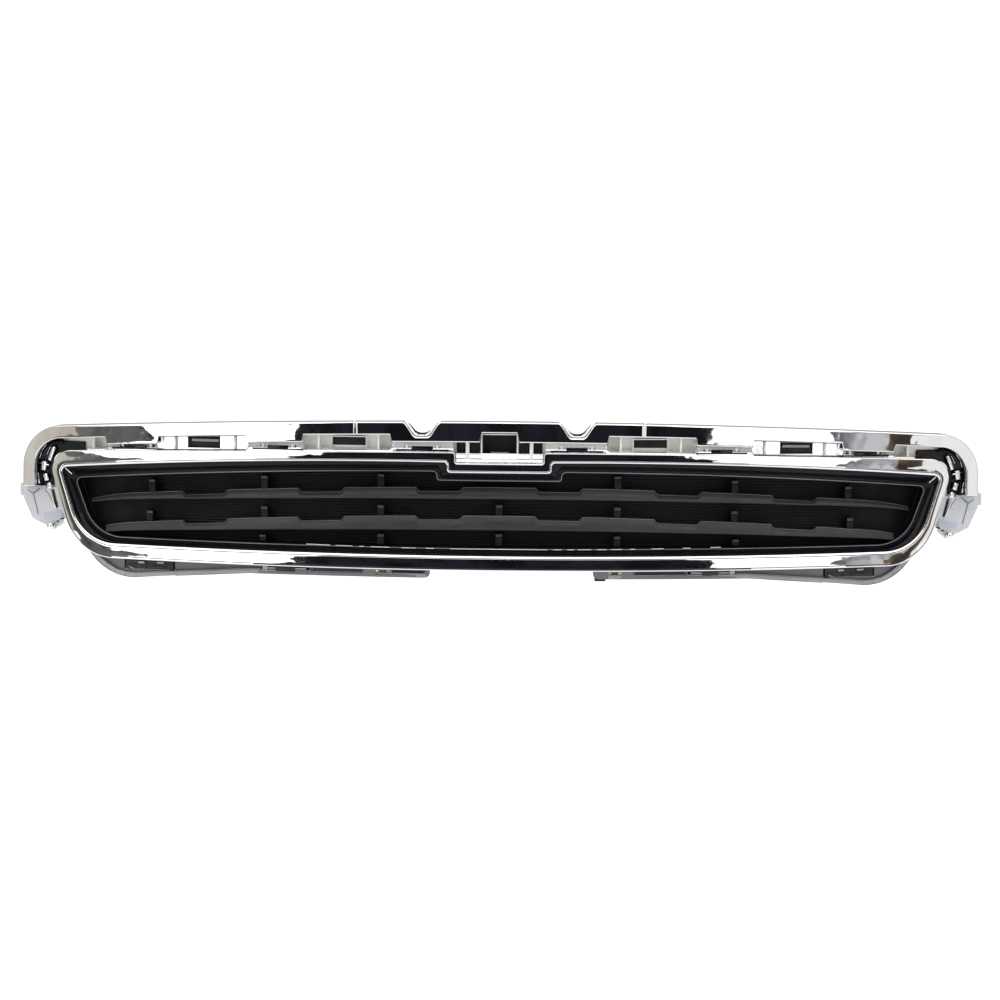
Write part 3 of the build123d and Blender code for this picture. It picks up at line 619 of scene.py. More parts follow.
class GRILLE_OT_ring(bpy.types.Operator):
    """Adds the chrome ring with rolled lips and its two fine grooves, their dark beads painted shade"""
    bl_idname = "grille.ring"
    bl_label = "Chrome ring"

    def execute(self, context):
        """Rows between the ring's two edges at a lipped profile, closed both ways.

        The upper and lower strips lean back with height, and the inner lip turns
        towards the opening, more steeply along the lower strip.  Each groove is a
        thin dark bead along a row of the ring's face, painted shade in the groove.
        """
        profile = spline([
            (0.0, 12.0), (0.0, 8.0), (0.0, 5.4), (0.006, 4.4), (0.025, 3.75), (0.055, 3.4),
            (0.1, 3.3), (0.2, 3.2), (0.35, 3.1), (0.5, 3.05), (0.65, 3.1), (0.77, 3.2),
            (0.795, 3.5), (0.81, 4.1), (0.825, 3.8), (0.835, 3.1), (0.85, 2.85), (0.88, 2.85),
            (0.91, 2.88), (0.945, 2.95), (0.965, 3.15), (0.99, 3.9), (1.0, 5.2), (1.0, 9.0),
            (1.0, 12.0)], 3)
        foremost, seat = 0.0001, 0.012
        outer, inner = ring_outer_loop(), ring_inner_loop()
        f = np.clip(profile[:, 0], 0, 1)
        flat = between(outer, inner, f)
        foot = smooth_step(-outer[:, 1], 0.060, 0.076)
        foot = foot * (1 - smooth_step(np.abs(outer[:, 0]), 0.42, 0.47))
        lip = np.clip(f[:, None] - 0.84, 0, 0.12) * 0.014 * (0.22 + 0.42 * foot[None])
        base = profile[:, 1][:, None] * MM
        shift = (ring_lean(flat[..., 1]) + lip) * np.clip((0.010 - base) / 0.004, 0, 1)
        points = onto_bow(flat, np.clip(base + shift, foremost, seat))
        piece("ring", "chrome_show", "chrome", points, "chrome_ring", flip=True, **HOOP)
        turn = full_turn(12)[:, None]
        low = smooth_step(-outer[:, 1], -0.010, 0.030)
        across = inner - outer
        across = across / np.hypot(*across.T)[:, None]
        # each groove's dark bead is painted shade along the groove
        for name, at, depth, radius in (("ring_groove", 0.812, 3.5, 0.42 + 0 * low),
                                        ("ring_foot_groove", 0.15, 3.3, 0.05 + 0.42 * low)):
            middle = outer * (1 - at) + inner * at
            flat = middle[None] + across[None] * (radius[None] * np.cos(turn) * MM)[..., None]
            depth = depth * MM + ring_lean(middle[:, 1])[None] + radius[None] * np.sin(turn) * MM
            piece(name, "chrome_black", "chrome", onto_bow(flat, np.maximum(depth, foremost)),
                  flip=True, **HOOP)
        return {"FINISHED"}


class GRILLE_OT_bezel(bpy.types.Operator):
    """Adds the gloss black dish between the ring and the opening, with a pale bead on its edge as a
    painted highlight
    """
    bl_idname = "grille.bezel"
    bl_label = "Gloss bezel"

    def execute(self, context):
        """Rows from under the ring to the opening, then back along the wall; a bead on the edge."""
        under_ring = 3 * MM
        outer, inner = grown(ring_inner_loop(), under_ring), opening_loop()
        profile = spline([
            (0.0, 15.5), (0.0, 13.0), (0.06, 12.6), (0.2, 12.9), (0.4, 14.8), (0.6, 17.8),
            (0.74, 20.4), (0.82, 21.2), (0.88, 21.3), (0.94, 21.2), (0.98, 21.3), (1.0, 22.2),
            (1.0, 28.0), (1.0, 36.0), (1.0, 43.0), (0.86, 43.0), (0.86, 30.0), (0.8, 24.0),
            (0.5, 20.0), (0.1, 16.0),
        ], 3)
        points = onto_bow(between(outer, inner, profile[:, 0]), profile[:, 1][:, None] * MM)
        piece("bezel", "gloss_black", "gloss_black", points, "bezel_frame", flip=True, **HOOP)
        # the pale bead is a painted highlight along the opening's edge
        bead_inside, bead_width, bead_depth, bead_radius = 0.0004, 0.0014, 0.0208, 0.0005
        turn = full_turn(12)[:, None]
        across = grown(inner, bead_width) - inner
        reach = 0.5 * (1 + np.cos(turn))[..., None]
        flat = grown(inner, bead_inside)[None] + across[None] * reach * 0.9
        depth = bead_depth + bead_radius * np.sin(turn) + 0 * inner[None, :, 0]
        piece("opening_bead", "edge", "gloss_black", onto_bow(flat, depth), **HOOP)
        return {"FINISHED"}


class GRILLE_OT_bezel_glints(bpy.types.Operator):
    """Adds painted highlights, short bright bars along the bezel's lower step, and the bright chrome
    corner mitres
    """
    bl_idname = "grille.bezel_glints"
    bl_label = "Bezel ridge"

    def execute(self, context):
        """Short thin bars end to end along Z = X^2 / 21000 - 57, with gaps between them."""
        stretches = [(-215, -188), (-182, -163), (-155, -150), (-143, -121), (-108, -92),
                     (-81, -72), (-54, 54), (60, 70), (76, 84), (88, 103), (109, 120), (125, 137),
                     (146, 152), (170, 184), (205, 214), (236, 248)]
        ridge = []
        for low, high in stretches:
            a, b = (-57.0 + x * x / 21000 for x in (low, high))
            ridge.append(((low, a), (high, b), 0.75, 18.2, 20.5))
        # painted highlights: pale trim bars along the bezel's lower step
        bars("bezel_ridge", "trim", "gloss_black", ridge)
        bars("corner_mitres", "chrome_show", "chrome",
             both_sides([((499, 25.0), (488, 16.0), 1.5, 11.6, 14.5)]))
        return {"FINISHED"}


# ----- louvres, panel and fins -----
class GRILLE_OT_louvres(bpy.types.Operator):
    """Adds the two notched louvre blades, each with a pale bead along its upper edge as a painted
    highlight
    """
    bl_idname = "grille.louvres"
    bl_label = "Louvres"

    def execute(self, context):
        """Profile in depth carried along X, hung from Z = crown - X^2 / 2R less the notches."""
        pitch = sizes().louvre_pitch / MM
        notch_depth, notch_half, notch_mouth_half = 4.5, 21.5, 27.5
        tip_from, bead_radius, bead_sunk = 415, 0.35, 0.2
        back = [(0.0, 33.0), (0.03, 35.0), (0.3, 36.0), (0.75, 36.5), (0.8, 38.0), (0.8, 43.0)]
        rolled = [(1.0, 43.0), (1.0, 37.0), (1.0, 32.6), (0.985, 31.4), (0.93, 30.4), (0.8, 29.2),
                  (0.6, 27.6), (0.42, 26.6), (0.25, 26.2), (0.1, 26.6), (0.03, 28.0)] + back
        upright = [(1.0, 43.0), (1.0, 36.0), (1.0, 31.2), (0.985, 30.2), (0.9, 29.0), (0.6, 27.0),
                   (0.3, 26.2), (0.12, 26.0), (0.05, 26.4), (0.01, 27.6)] + back
        brow = 3
        turn = full_turn(10)[:, None]
        for name, crown, arc, end, height, shape in (
                ("louvre_upper", 11.0, 5600, 467, 13.0, rolled),
                ("louvre_lower", -20.7, 5000, 450, 16.0, upright)):
            x = np.linspace(-end, end, 1400)
            away = np.abs((np.abs(x) / pitch) % 1 - 0.5) * pitch
            inside = np.abs(x) < pitch * 3 - 10
            notch = notch_depth * (1 - smooth_step(away, notch_half, notch_mouth_half)) * inside
            droop = 0.0016 * np.clip(np.abs(x) - tip_from, 0, None) ** 2
            foot = crown - height - x ** 2 / (3.2 * arc) - droop * 0.6
            top = crown - x ** 2 / (2 * arc) - droop - notch
            profile = spline(shape, 4)
            h, depth = profile[:, 0][:, None], profile[:, 1][:, None] * MM
            z = foot[None] + (top - foot)[None] * h
            points = bowed(x[None] * MM, z * MM, depth)
            piece(name + "_blade", "louvre_black", "matt_black", points.transpose(1, 0, 2), name,
                  **TUBE)
            # the bead is a painted highlight: the upper edge lit from above
            z = (top - bead_sunk)[None] + bead_radius * np.cos(turn)
            depth = (shape[brow][1] - bead_sunk + bead_radius * np.sin(turn)) * MM + 0 * z
            points = bowed(x[None] * MM, z * MM, depth)
            piece(name + "_edge", "edge", "matt_black", points.transpose(1, 0, 2), flip=True,
                  **TUBE)
        return {"FINISHED"}


class GRILLE_OT_panel(bpy.types.Operator):
    """Adds the closed panel with its fine ribs"""
    bl_idname = "grille.panel"
    bl_label = "Ribbed panel"

    def execute(self, context):
        """Depth = 45 - 0.7 S(|saw(Z / pitch)|), S a smooth step; the ribs fade before the ends.

        The sheet is trimmed to a border just behind the opening's edge.
        """
        seat, rib_height, pitch, rows_per_rib = 45, 0.7, 3.2, 8
        half_width, low, high, foot = 486, -59, 32, -57.5
        side_lean, side_top = 0.37, 10
        x = np.linspace(-half_width, half_width, 200)
        z = np.linspace(low, high, int((high - low) / pitch * rows_per_rib))
        xx, zz = np.meshgrid(x, z)
        saw = np.abs((zz / pitch) % 1 * 2 - 1)
        fade = 1 - smooth_step(np.abs(xx), 405, 440)
        depth = seat - rib_height * smooth_step(saw, 0.15, 0.85) * fade
        top = 28.5 - np.clip(np.abs(xx) - 70, 0, None) ** 2 / 9700 + 2
        zz = np.clip(zz, foot, top)
        half = half_width - np.clip(side_top - zz, 0, None) * side_lean
        front = bowed(xx / half_width * half * MM, zz * MM, depth * MM)
        panel = piece("panel_face", "panel_black", "matt_black", front, "air_blocker_panel")
        thick = panel.modifiers.new("thickness", "SOLIDIFY")
        thick.thickness = 0.0015
        thick.offset = -1
        return {"FINISHED"}


class GRILLE_OT_fins(bpy.types.Operator):
    """Adds the short upright fins and their paler heads, a painted highlight where light from above falls
    on the fin tops
    """
    bl_idname = "grille.fins"
    bl_label = "Fins"

    def execute(self, context):
        """Rounded front outlines stacked in depth, one grid per fin, with a slanted top."""
        rows = {
            "fins_upper": [(132, 25, 9.6), (264, 20, 4.9), (395, 12.2, -2.8)],
            "fins_middle": [(0, -8.2, -20.2), (132, -10.3, -22), (264, -14.7, -27.3),
                            (398, -23.9, -36)],
            "fins_lower": [(0, -40.8, -55), (132, -42.7, -55), (266, -46.7, -54.5)],
        }
        half_width, seat = 3.85, 43.0
        slant_height, slant_slope = 4.2, 0.7
        unit = squared_circle(48, 0.3)
        inset = np.array([0.0, 0.0, 0.15, 0.5, 1.0])
        depth = np.array([seat, 31.2, 30.5, 30.1, 30.0])[:, None]
        for name, fins in rows.items():
            grids, lit_heads = [], []
            for x, top, foot in fins:
                for side in ((1, -1) if x else (1,)):
                    half = np.array([half_width, (top - foot) / 2])
                    ring = unit[None] * (half[None, None] - inset[:, None, None])
                    slant = np.clip(ring[..., 1] - half[1] + slant_height, 0, None) * slant_slope
                    slant = slant * np.clip((seat - depth) / 8, 0, 1)
                    flat = ring + (side * x, (top + foot) / 2)
                    grids.append(onto_bow(flat * MM, (depth + slant) * MM))
                    # paler heads: painted highlight on the fin tops
                    lit_heads.append(level(side * x, top - 1.9, 3.6, 3.6, 29.8, 33))
            piece(name + "_set", "panel_black", "matt_black", grids[0], name, copies=grids[1:],
                  **TUBE)
            bars(name + "_heads", "fin_head", "matt_black", lit_heads)
        return {"FINISHED"}


# ----- channel and end recesses -----
def ring_top(x):
    """Height of the ring's upper edge in millimetres."""
    return 51.6 - x * x / 30430


def hook_slots():
    """Centre and height of each hook slot in millimetres."""
    return [(side * x, ring_top(x) + 2.3) for x in (85.5, 247, 410.5) for side in SIDES]


def channel_slopes():
    """The channel's floor: P = ring edge + rise h at depth d(h), a cove up to the recess.

    h follows the steps of the band's lower edge; over the dropped centre it is constant.
    """
    cove = spline([(-3.0, 13.6), (0.0, 14.2), (0.5, 16.8), (1.0, 19.4), (1.03, 20.5),
                   (1.03, 27.9), (0.5, 27.9), (-3.0, 27.9)], 4)
    rise, depth = cove[None, :, 0], cove[None, :, 1] * MM
    reach = [51, 118, 122, 217, 221, 280, 284, 383, 387, 444, 448, 470]
    height = [10.6, 10.6, 3.4, 3.4, 9.3, 9.0, 1.2, 1.2, 7.4, 6.6, 3.0, 3.0]
    for name, low, high in (("slope_left", -470, -51), ("slope_right", 51, 470)):
        x = np.linspace(low, high, 800)[:, None]
        lift = np.where(rise > 0, np.interp(np.abs(x), reach, height), 1.0)
        points = bowed(x * MM, (ring_top(x) + rise * lift) * MM, depth)
        piece(name, "chrome_cove", "chrome", points, flip=True, **TUBE)
    centre_edge, centre_height, centre_half = 39.6, 9.6, 48.4
    x = np.linspace(-centre_half, centre_half, 80)[:, None]
    lift = np.where(rise > 0, centre_height, 1.0)
    points = bowed(x * MM, (centre_edge + rise * lift) * MM, depth)
    piece("slope_centre", "chrome_cove", "chrome", points, flip=True, **TUBE)


def channel_windows():
    """The clip windows: dark backs, sills, cheeks beside the outer ones, glints, and dark edge lines as
    painted shade under the band's lip and along the ring's top edge.
    """
    back = 28
    dark = both_sides([((21.5, 59.5), (47.5, 59.5), 20, 26.8, back),
                       ((508, 46.2), (474.5, 46.0), 13.6, 25.0, back)])
    cheeks, sills, glints = [], [], []
    for side in SIDES:
        for x, z, front in ((332, 55, 19.2), (167.5, 60, 26.6)):
            dark.append(level(side * x, z + 1.4, 18.2, 12.2, front, back))
            sills.append(level(side * x, z - 4.8, 19, 2.8, 26.0, back))
        glints.append(((side * 331 - 15, 58.9), (side * 331 + 16, 58.7), 3.0, 18.4, 20))
        for low, high, foot, head, front in ((280.4, 313.4, 49.4, 65.5, 17.6),
                                             (350.2, 386.6, 47.7, 62.8, 17.6),
                                             (311, 353, 48.2, 50.4, 17.8)):
            cheeks.append(plate(side * low, side * high, foot, head, front, back + 0.4))
    bars("channel_darks", "matt_black", "chrome", dark)
    bars("window_sills", "trim", "chrome", sills)
    piece("channel_plates", "chrome_cove", "chrome", cheeks[0], copies=cheeks[1:], **TUBE)
    bars("window_glints", "rail_lip", "matt_black", glints)
    # painted shade: thin dark lines under the band's lip and along the ring's top edge
    bars("window_lines", "crease", "chrome", both_sides([
        ((283, 65.5), (383, 61.8), 0.9, 12.2, 16), ((283, 49.7), (383, 47.5), 0.8, 13.4, 16)]))


def channel_hooks():
    """Each hook slot: a long gap and a short deeper one above it, dark bars as painted shade, two lugs and
    four fine dark seams.
    """
    gaps, lugs = [], []
    for x, z in hook_slots():
        # painted shade: dark bars for the slot gaps; the four fine ones further down are dark seams
        gaps.append(level(x, z - 0.6, 29, 1.7, 13.4, 17))
        gaps.append(level(x, z + 1.4, 12, 4.2, 14.4, 19))
        for away in (-16.5, 16.5):
            lugs.append(((x + away, z + 1.2), (x + away, z + 5.0), 3.4, 14.6, 20))
        for away in (-14.2, 14.2, -19, 19):
            gaps.append(((x + away, z + 0.6), (x + away * 1.05, z + 4.2), 0.6, 14.8, 19))
    bars("hook_slot_gaps", "chrome_black", "chrome", gaps)
    bars("hook_lugs", "trim", "chrome", lugs)


def rim(low, high, foot, head, width, front):
    """Bar specs round a window: its foot, its head and its two sides."""
    ends = (((low, foot), (high, foot)), ((low, head), (high, head)),
            ((low, foot), (low, head)), ((high, foot), (high, head)))
    back = 28
    return [(start, end, width, front, back) for start, end in ends]


def channel_ribs():
    """Upright ribs from the ring up to the band, and rims round the inner and centre windows."""
    back, under_band = 28, 15.5
    ribs = []
    for x in (134, 201, 296, 365, 462):
        top = sizes().crown / MM - x * x / 18000 - under_band
        ribs += both_sides([((x, ring_top(x) + 0.8), (x, top), 2.6, 14.0, back)])
    ribs += both_sides([((34.5, 40.5), (34.5, 61.5), 2.6, 15.2, back)])
    bars("channel_ribs", "trim", "chrome", ribs)
    inner_at, inner_half = 167.5, 19.5
    rims = []
    for side in SIDES:
        middle = side * inner_at
        rims += rim(middle - inner_half, middle + inner_half, 53.5, 66.5, 1.0, 20.5)
    rims += rim(-20, 20, 44, 71, 1.2, 15)
    bars("window_rims", "trim", "chrome", rims)


class GRILLE_OT_channel(bpy.types.Operator):
    """Adds the channel's sloping floor, windows, hook slots, ribs and rims"""
    bl_idname = "grille.channel"
    bl_label = "Channel details"

    def execute(self, context):
        """The floor comes first, then what stands on it."""
        channel_slopes()
        channel_windows()
        channel_hooks()
        channel_ribs()
        return {"FINISHED"}


class GRILLE_OT_end_recess(bpy.types.Operator):
    """Adds the curved trough inside each end lobe, painted dark as shade, with its bright tabs"""
    bl_idname = "grille.end_recess"
    bl_label = "End recesses"

    def execute(self, context):
        """Trough rows at insets from the surround's edge, dished in depth; tabs are short bars."""
        path, normal = surround_path()
        keep = (path[:, 0] < -0.500) & (path[:, 1] > 0.0)
        path, normal = path[keep], normal[keep]
        rows = np.array([(14.6, 15.0), (15.4, 21.0), (17.5, 25.5), (20.5, 26.6), (21.4, 24.4),
                         (22.2, 26.6), (26.0, 27.2), (30.0, 27.0), (34.0, 26.0), (34.0, 28.5),
                         (14.6, 28.5)])
        left = path[:, None] + normal[:, None] * rows[None, :, :1] * MM
        right = left[::-1] * (-1, 1)
        # painted shade: the trough surface is near-black where the deep trough is dark
        for name, flat in (("end_trough", left), ("end_trough_right", right)):
            piece(name, "chrome_black", "chrome", onto_bow(flat, rows[None, :, 1] * MM), **TUBE)
        tabs = [(p, q, width, 19.0, 26.5) for p, q, width in (
            ((526.0, 18.5), (524.0, 29.0), 7.5), ((530.8, 27.0), (518.0, 24.5), 2.0),
            ((521.0, 6.5), (523.5, 14.5), 6.0), ((531.0, 2.5), (532.8, 15.0), 4.0),
            ((517.0, -2.5), (519.0, 4.0), 5.6), ((511.0, 46.0), (518.0, 30.0), 4.6),
            ((526.5, 41.0), (519.5, 50.5), 1.3), ((529.5, 32.0), (526.5, 41.0), 1.3),
            ((520.5, 36.5), (515.5, 46.0), 0.9), ((534.0, 20.0), (533.0, 30.0), 1.2))]
        bars("recess_tabs", "chrome_show", "chrome", both_sides(tabs))
        return {"FINISHED"}


# ----- brackets and rails -----
class GRILLE_OT_bracket_lines(bpy.types.Operator):
    """Adds each end bracket's web; its slits and creases, dark as painted shade; its facets, toned as
    painted light; and chrome strips on its edges as painted highlights
    """
    bl_idname = "grille.bracket_lines"
    bl_label = "Bracket lines"

    def execute(self, context):
        """Bars sunk into the bracket's front face, each standing a little proud of it."""
        # slits and creases are painted shade, facets painted light, the chrome edge strips painted
        # highlights
        for name, finish, specs in (
                ("bracket_webs", "pale_grey", [((509.5, 0.0), (501.5, -31.0), 17, 24.4, 28)]),
                ("bracket_slits", "chrome_black", [
                    ((514.5, -3.6), (509.0, -24.5), 3.0, 23.4, 26),
                    ((505.5, -37.6), (500.5, -36.6), 1.8, 23.2, 26),
                    ((510.0, -40.6), (507.0, -39.8), 1.6, 23.2, 26)]),
                ("bracket_creases", "crease", [
                    ((538.8, -9.6), (532.4, -33.5), 1.7, 23.6, 25.5),
                    ((545.8, -5.4), (539.0, -9.6), 1.2, 23.5, 25.5),
                    ((539.0, -9.6), (530.6, -3.4), 2.0, 23.4, 25.5)]),
                ("bracket_facets", "facet", [
                    ((547.0, -3.2), (526.0, -2.6), 5.6, 23.7, 25.5),
                    ((526.0, -35.0), (503.0, -31.0), 8.0, 23.7, 25.5)]),
                ("bracket_edges", "chrome", [
                    ((522.0, -3.2), (518.0, -7.4), 1.6, 23.2, 25.5),
                    ((518.0, -7.4), (510.8, -25.0), 1.8, 23.2, 25.5)])):
            bars(name, finish, "pale_grey", both_sides(specs))
        return {"FINISHED"}


class GRILLE_OT_clips(bpy.types.Operator):
    """Adds the rails' lips, a lighter grey as painted light on their lit faces, dark plates in their
    pockets as painted shade, and the spring clips in them with their painted glints
    """
    bl_idname = "grille.clips"
    bl_label = "Rail clips"

    def execute(self, context):
        """Rods, bulbs and blocks as rounded bars; a lip is a chain of them along the rail."""
        lip = [(280, -86.4), (364, -92.4), (411, -96.2), (424, -95.2), (436, -92.2), (447, -85.6),
               (458, -77.4), (464, -70.0)]
        for side, name, inner_end in ((-1, "left", 80), (1, "right", 122)):
            chain = [(inner_end, -86.4)] + lip
            # painted light: the lip is a lighter grey where light falls on it
            bars("rail_lip_" + name, "rail_lip", "rail_grey",
                 mirrored(side, [(a, b, 4.8, 12.8, 16) for a, b in zip(chain, lip)]))
            # painted shade: dark plates in the recessed pockets
            pockets = [((153, -77.2), (207, -77.2), 14.4, 17.2, 19)]
            if side < 0:
                pockets.append(((84, -77.2), (116, -77.2), 14.4, 17.2, 19))
            pockets.append(((368, -84.5), (424, -84.5), 10.6, 18.8, 20.3))
            bars("rail_recess_" + name, "rail_dark", "rail_grey", mirrored(side, pockets))
            x, z = side * 238.5, -82.5
            bars("clip_inner_" + name, "spring_black", "spring_black", [
                ((x - 11, z), (x + 7, z), 6.4, 13.6, 22)])
            bars("clip_rod_" + name, "rod", "spring_black", [
                ((x - side * 24, z), (x + side * 24, z), 2.0, 15.6, 19.5),
                ((x + side * 20, z), (x + side * 26, z + 0.4), 5.6, 14.6, 20)])
            x, z = side * 396, -84.5
            bars("clip_glints_" + name, "rod", "spring_black", [
                ((x - 13, -81.8), (x - 6, -81.6), 2.4, 14.8, 18),
                ((x - 24, -87.0), (x - 18, -89.0), 1.0, 15.0, 18),
                ((x + 9, -81.4), (x + 17, -81.2), 2.0, 14.8, 18)])
            bars("clip_outer_" + name, "spring_black", "spring_black", [
                ((x - 26, z - 0.5), (x + 26, z + 1.5), 2.4, 16.2, 20),
                ((x - 20, z - 2.5), (x - 8, z - 2.5), 4.0, 16.4, 20),
                ((x + 2, z - 2.5), (x + 20, z - 2.5), 4.4, 16.0, 20),
                ((x - 5, z - 4.5), (x - 5, z + 4.0), 3.0, 15.6, 20)])
        return {"FINISHED"}


class GRILLE_OT_finishes(bpy.types.Operator):
    """Gives the carried-over CAD pieces their finish"""
    bl_idname = "grille.finishes"
    bl_label = "CAD finishes"

    def execute(self, context):
        """Each node takes the finish its record slot names; the clip channel's is the pale trim."""
        finishes = palette()
        for part in frame["record"]["subparts"]:
            node = frame["nodes"][part["node"]]
            finish = finishes[part["material_slot"]]
            if part["node"].startswith("clip_channel"):
                finish = finishes["trim"]
            for slot in node.material_slots:
                slot.material = finish
        return {"FINISHED"}


# ----- studio -----
WALL_RADIUS = 3.3
WALL_RISES = (2.6, 3.8, 8.0, 15.0)
BACKDROP_RADIUS = 6


def glow(name, value, strength, other=None):
    """An emitter, mottled between two tones where a second one is given."""
    material = bpy.data.materials.new(name)
    material.use_nodes = True
    nodes, links = material.node_tree.nodes, material.node_tree.links
    nodes.remove(nodes["Principled BSDF"])
    shader = nodes.new("ShaderNodeEmission")
    shader.inputs["Color"].default_value = (*value, 1)
    shader.inputs["Strength"].default_value = strength
    if other:
        blotch = noise(nodes, links, nodes.new("ShaderNodeTexCoord"), 3.0, 5, (1, 1, 0.4))
        tint = ramp(nodes, value, other, 0.42, 0.62)
        links.new(blotch.outputs["Fac"], tint.inputs["Fac"])
        links.new(tint.outputs["Color"], shader.inputs["Color"])
    links.new(shader.outputs["Emission"], nodes["Material Output"].inputs["Surface"])
    return material


def arc_wall(name, low, high, foot, head, material):
    """An upright cylinder wall between two azimuths in degrees, 0 being straight ahead.

    Each limit is a row of azimuths, one where the wall rises by each of WALL_RISES
    degrees above the grille's centre, with straight lines between them.
    """
    z = np.concatenate([[foot], np.linspace(0.08, 1.0, 48), [head]])[:, None]
    rise = np.degrees(np.arctan2(z, WALL_RADIUS))
    start, stop = (np.interp(rise, WALL_RISES, limit) for limit in (low, high))
    turn = np.radians(start + (stop - start) * np.linspace(0, 1, 40))
    points = np.stack([WALL_RADIUS * np.sin(turn), -WALL_RADIUS * np.cos(turn), z + 0 * turn], -1)
    wall = surface(name, points, material)
    wall.visible_camera = False
    wall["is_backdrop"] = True


def backdrop(material, foot, head):
    """A plain cylinder all round, seen directly but lighting and reflecting nothing."""
    turn = full_turn(64)
    x, y = BACKDROP_RADIUS * np.cos(turn), BACKDROP_RADIUS * np.sin(turn)
    z = np.array([[foot], [head]])
    shell = surface("backdrop", np.stack([x + 0 * z, y + 0 * z, z + 0 * turn], -1), material,
                    close_columns=True)
    for ray in ("visible_diffuse", "visible_glossy", "visible_transmission", "visible_shadow"):
        setattr(shell, ray, False)
    shell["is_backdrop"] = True


def pale_ground(floor_z):
    """A white sweep that curves up far behind, the backdrop, and a small floor in front."""
    white = glow("studio_white", (1, 1, 1), 1.25)
    uu, vv = np.meshgrid(np.linspace(-4, 4, 30), np.linspace(-1.75, 4, 60))
    curve_from, curve = 2.4, 1.1
    rise = np.clip(vv - curve_from, 0, None) ** 2 * curve
    sweep = surface("sweep", np.stack([uu, vv, floor_z + rise], -1), white)
    sweep.visible_glossy = False
    sweep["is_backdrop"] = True
    backdrop(white, floor_z - 4, 6)
    near = np.stack([uu * 0.19, -0.3 + vv * 0.3, floor_z - 0.001 + 0 * uu], -1)
    surface("floor", near, glow("studio_floor", (1, 1, 1), 1.1))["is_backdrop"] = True


def reflected_walls(floor_z):
    """White, grey and dark walls side by side in front, for the bright pieces to reflect.

    They are hidden from the camera.  Each pair of neighbours shares one of the limits.
    """
    limits = [(-100,) * 4, (-58, -54, -54, -60), (-48, -44, -50, -56), (-31, -26, -27, -24),
              (31, 25.5, 27, 24), (43, 41, 43, 46), (49, 48, 49, 51), (53, 51, 53, 55),
              (100,) * 4]
    tones = (
        ("wall_far_left", (0.9, 0.87, 0.8), (0.72, 0.66, 0.56), 0.72),
        ("wall_left_dark", (0.025, 0.05, 0.044), (0.32, 0.31, 0.295), 0.5),
        ("wall_left_white", (1, 1, 1), (0.95, 0.95, 0.95), 2.0),
        ("wall_front_dark", (0.012, 0.012, 0.016), (0.03, 0.03, 0.04), 0.6),
        ("wall_right_white", (1, 1, 1), (0.9, 0.9, 0.92), 1.5),
        ("wall_right_grey", (0.2, 0.19, 0.21), (0.8, 0.79, 0.82), 0.75),
        ("wall_right_dark", (0.07, 0.06, 0.055), (0.36, 0.22, 0.12), 0.6),
        ("wall_far_right", (1.0, 0.985, 0.96), (0.9, 0.88, 0.85), 0.95))
    for (name, tone, other, strength), low, high in zip(tones, limits, limits[1:]):
        arc_wall(name, low, high, floor_z - 3, 2.6, glow(name, tone, strength, other))


def soft_light(scene):
    """One large lamp overhead and an even white world."""
    lamp = bpy.data.lights.new("overhead", "AREA")
    lamp.shape = "RECTANGLE"
    lamp.size, lamp.size_y = 5.0, 4.2
    lamp.energy = 100
    light = bpy.data.objects.new("overhead", lamp)
    light.location = (0, -1.1, 2.2)
    scene.collection.objects.link(light)
    light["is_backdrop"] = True
    world = bpy.data.worlds.new("studio")
    world.use_nodes = True
    background = world.node_tree.nodes["Background"]
    background.inputs["Color"].default_value = (1, 1, 1, 1)
    background.inputs["Strength"].default_value = 0.35
    scene.world = world
    scene.view_settings.view_transform = "Standard"


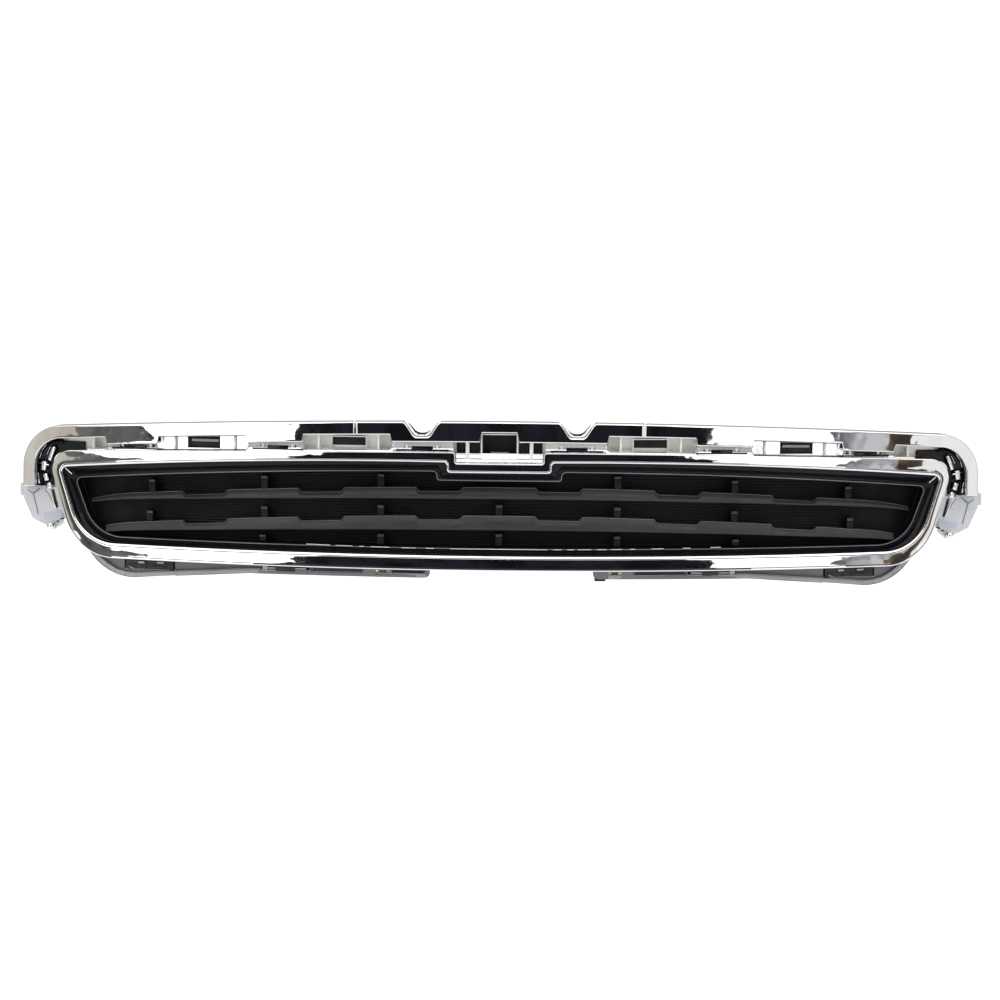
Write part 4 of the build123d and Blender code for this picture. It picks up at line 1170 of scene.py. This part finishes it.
def front_camera(scene):
    """A long lens in front of the ring, slightly above it and turned by elevation and azimuth."""
    data = bpy.data.cameras.new("camera")
    data.sensor_width = 36
    data.lens = 85.14
    data.shift_x = 0.0011
    elevation, azimuth = math.radians(5.22), math.radians(0.5)
    roll, distance = 0.0097, 2.6
    target = np.array([0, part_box("chrome_ring")[0][1],
                       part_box("chrome_band_centre")[1][2] - sizes().crown])
    back = np.array([math.sin(azimuth) * math.cos(elevation),
                     -math.cos(azimuth) * math.cos(elevation), math.sin(elevation)])
    camera = bpy.data.objects.new("camera", data)
    camera.location = target + back * distance
    camera.rotation_mode = "XYZ"
    camera.rotation_euler = (math.pi / 2 - elevation, 0, azimuth)
    camera.rotation_euler.rotate_axis("Z", roll)
    scene.collection.objects.link(camera)
    scene.camera = camera


class GRILLE_OT_stage(bpy.types.Operator):
    """Builds the pale floor, the studio walls, the lights and the camera"""
    bl_idname = "grille.stage"
    bl_label = "Studio"

    def execute(self, context):
        """White ground all round, toned walls in front, soft light and the camera."""
        below = 0.0005
        floor_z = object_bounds()[0][2] - below
        pale_ground(floor_z)
        reflected_walls(floor_z)
        soft_light(context.scene)
        front_camera(context.scene)
        return {"FINISHED"}


class GRILLE_PT_panel(bpy.types.Panel):
    """Sidebar panel with every step"""
    bl_label = "Grille"
    bl_idname = "GRILLE_PT_panel"
    bl_space_type = "VIEW_3D"
    bl_region_type = "UI"
    bl_category = "Grille"

    def draw(self, context):
        """One button per operator."""
        for step in STEPS:
            self.layout.operator(step.bl_idname)


STEPS = (
    GRILLE_OT_finishes, GRILLE_OT_band, GRILLE_OT_channel, GRILLE_OT_end_recess, GRILLE_OT_ring,
    GRILLE_OT_bezel, GRILLE_OT_bezel_glints, GRILLE_OT_louvres, GRILLE_OT_panel, GRILLE_OT_fins,
    GRILLE_OT_bracket_lines, GRILLE_OT_clips, GRILLE_OT_stage,
)
CLASSES = (GrilleSizes, GrilleColours, *STEPS, GRILLE_PT_panel)


def register():
    """Register the classes and hang the properties on the scene."""
    for cls in CLASSES:
        bpy.utils.register_class(cls)
    bpy.types.Scene.grille_sizes = bpy.props.PointerProperty(type=GrilleSizes)
    bpy.types.Scene.grille_colours = bpy.props.PointerProperty(type=GrilleColours)


def unregister():
    """Undo register."""
    del bpy.types.Scene.grille_colours
    del bpy.types.Scene.grille_sizes
    for cls in reversed(CLASSES):
        bpy.utils.unregister_class(cls)


def main():
    """Build everything in order."""
    register()
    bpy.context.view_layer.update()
    for step in STEPS:
        group, name = step.bl_idname.split(".")
        getattr(getattr(bpy.ops, group), name)()


if __name__ == "__main__":
    main()
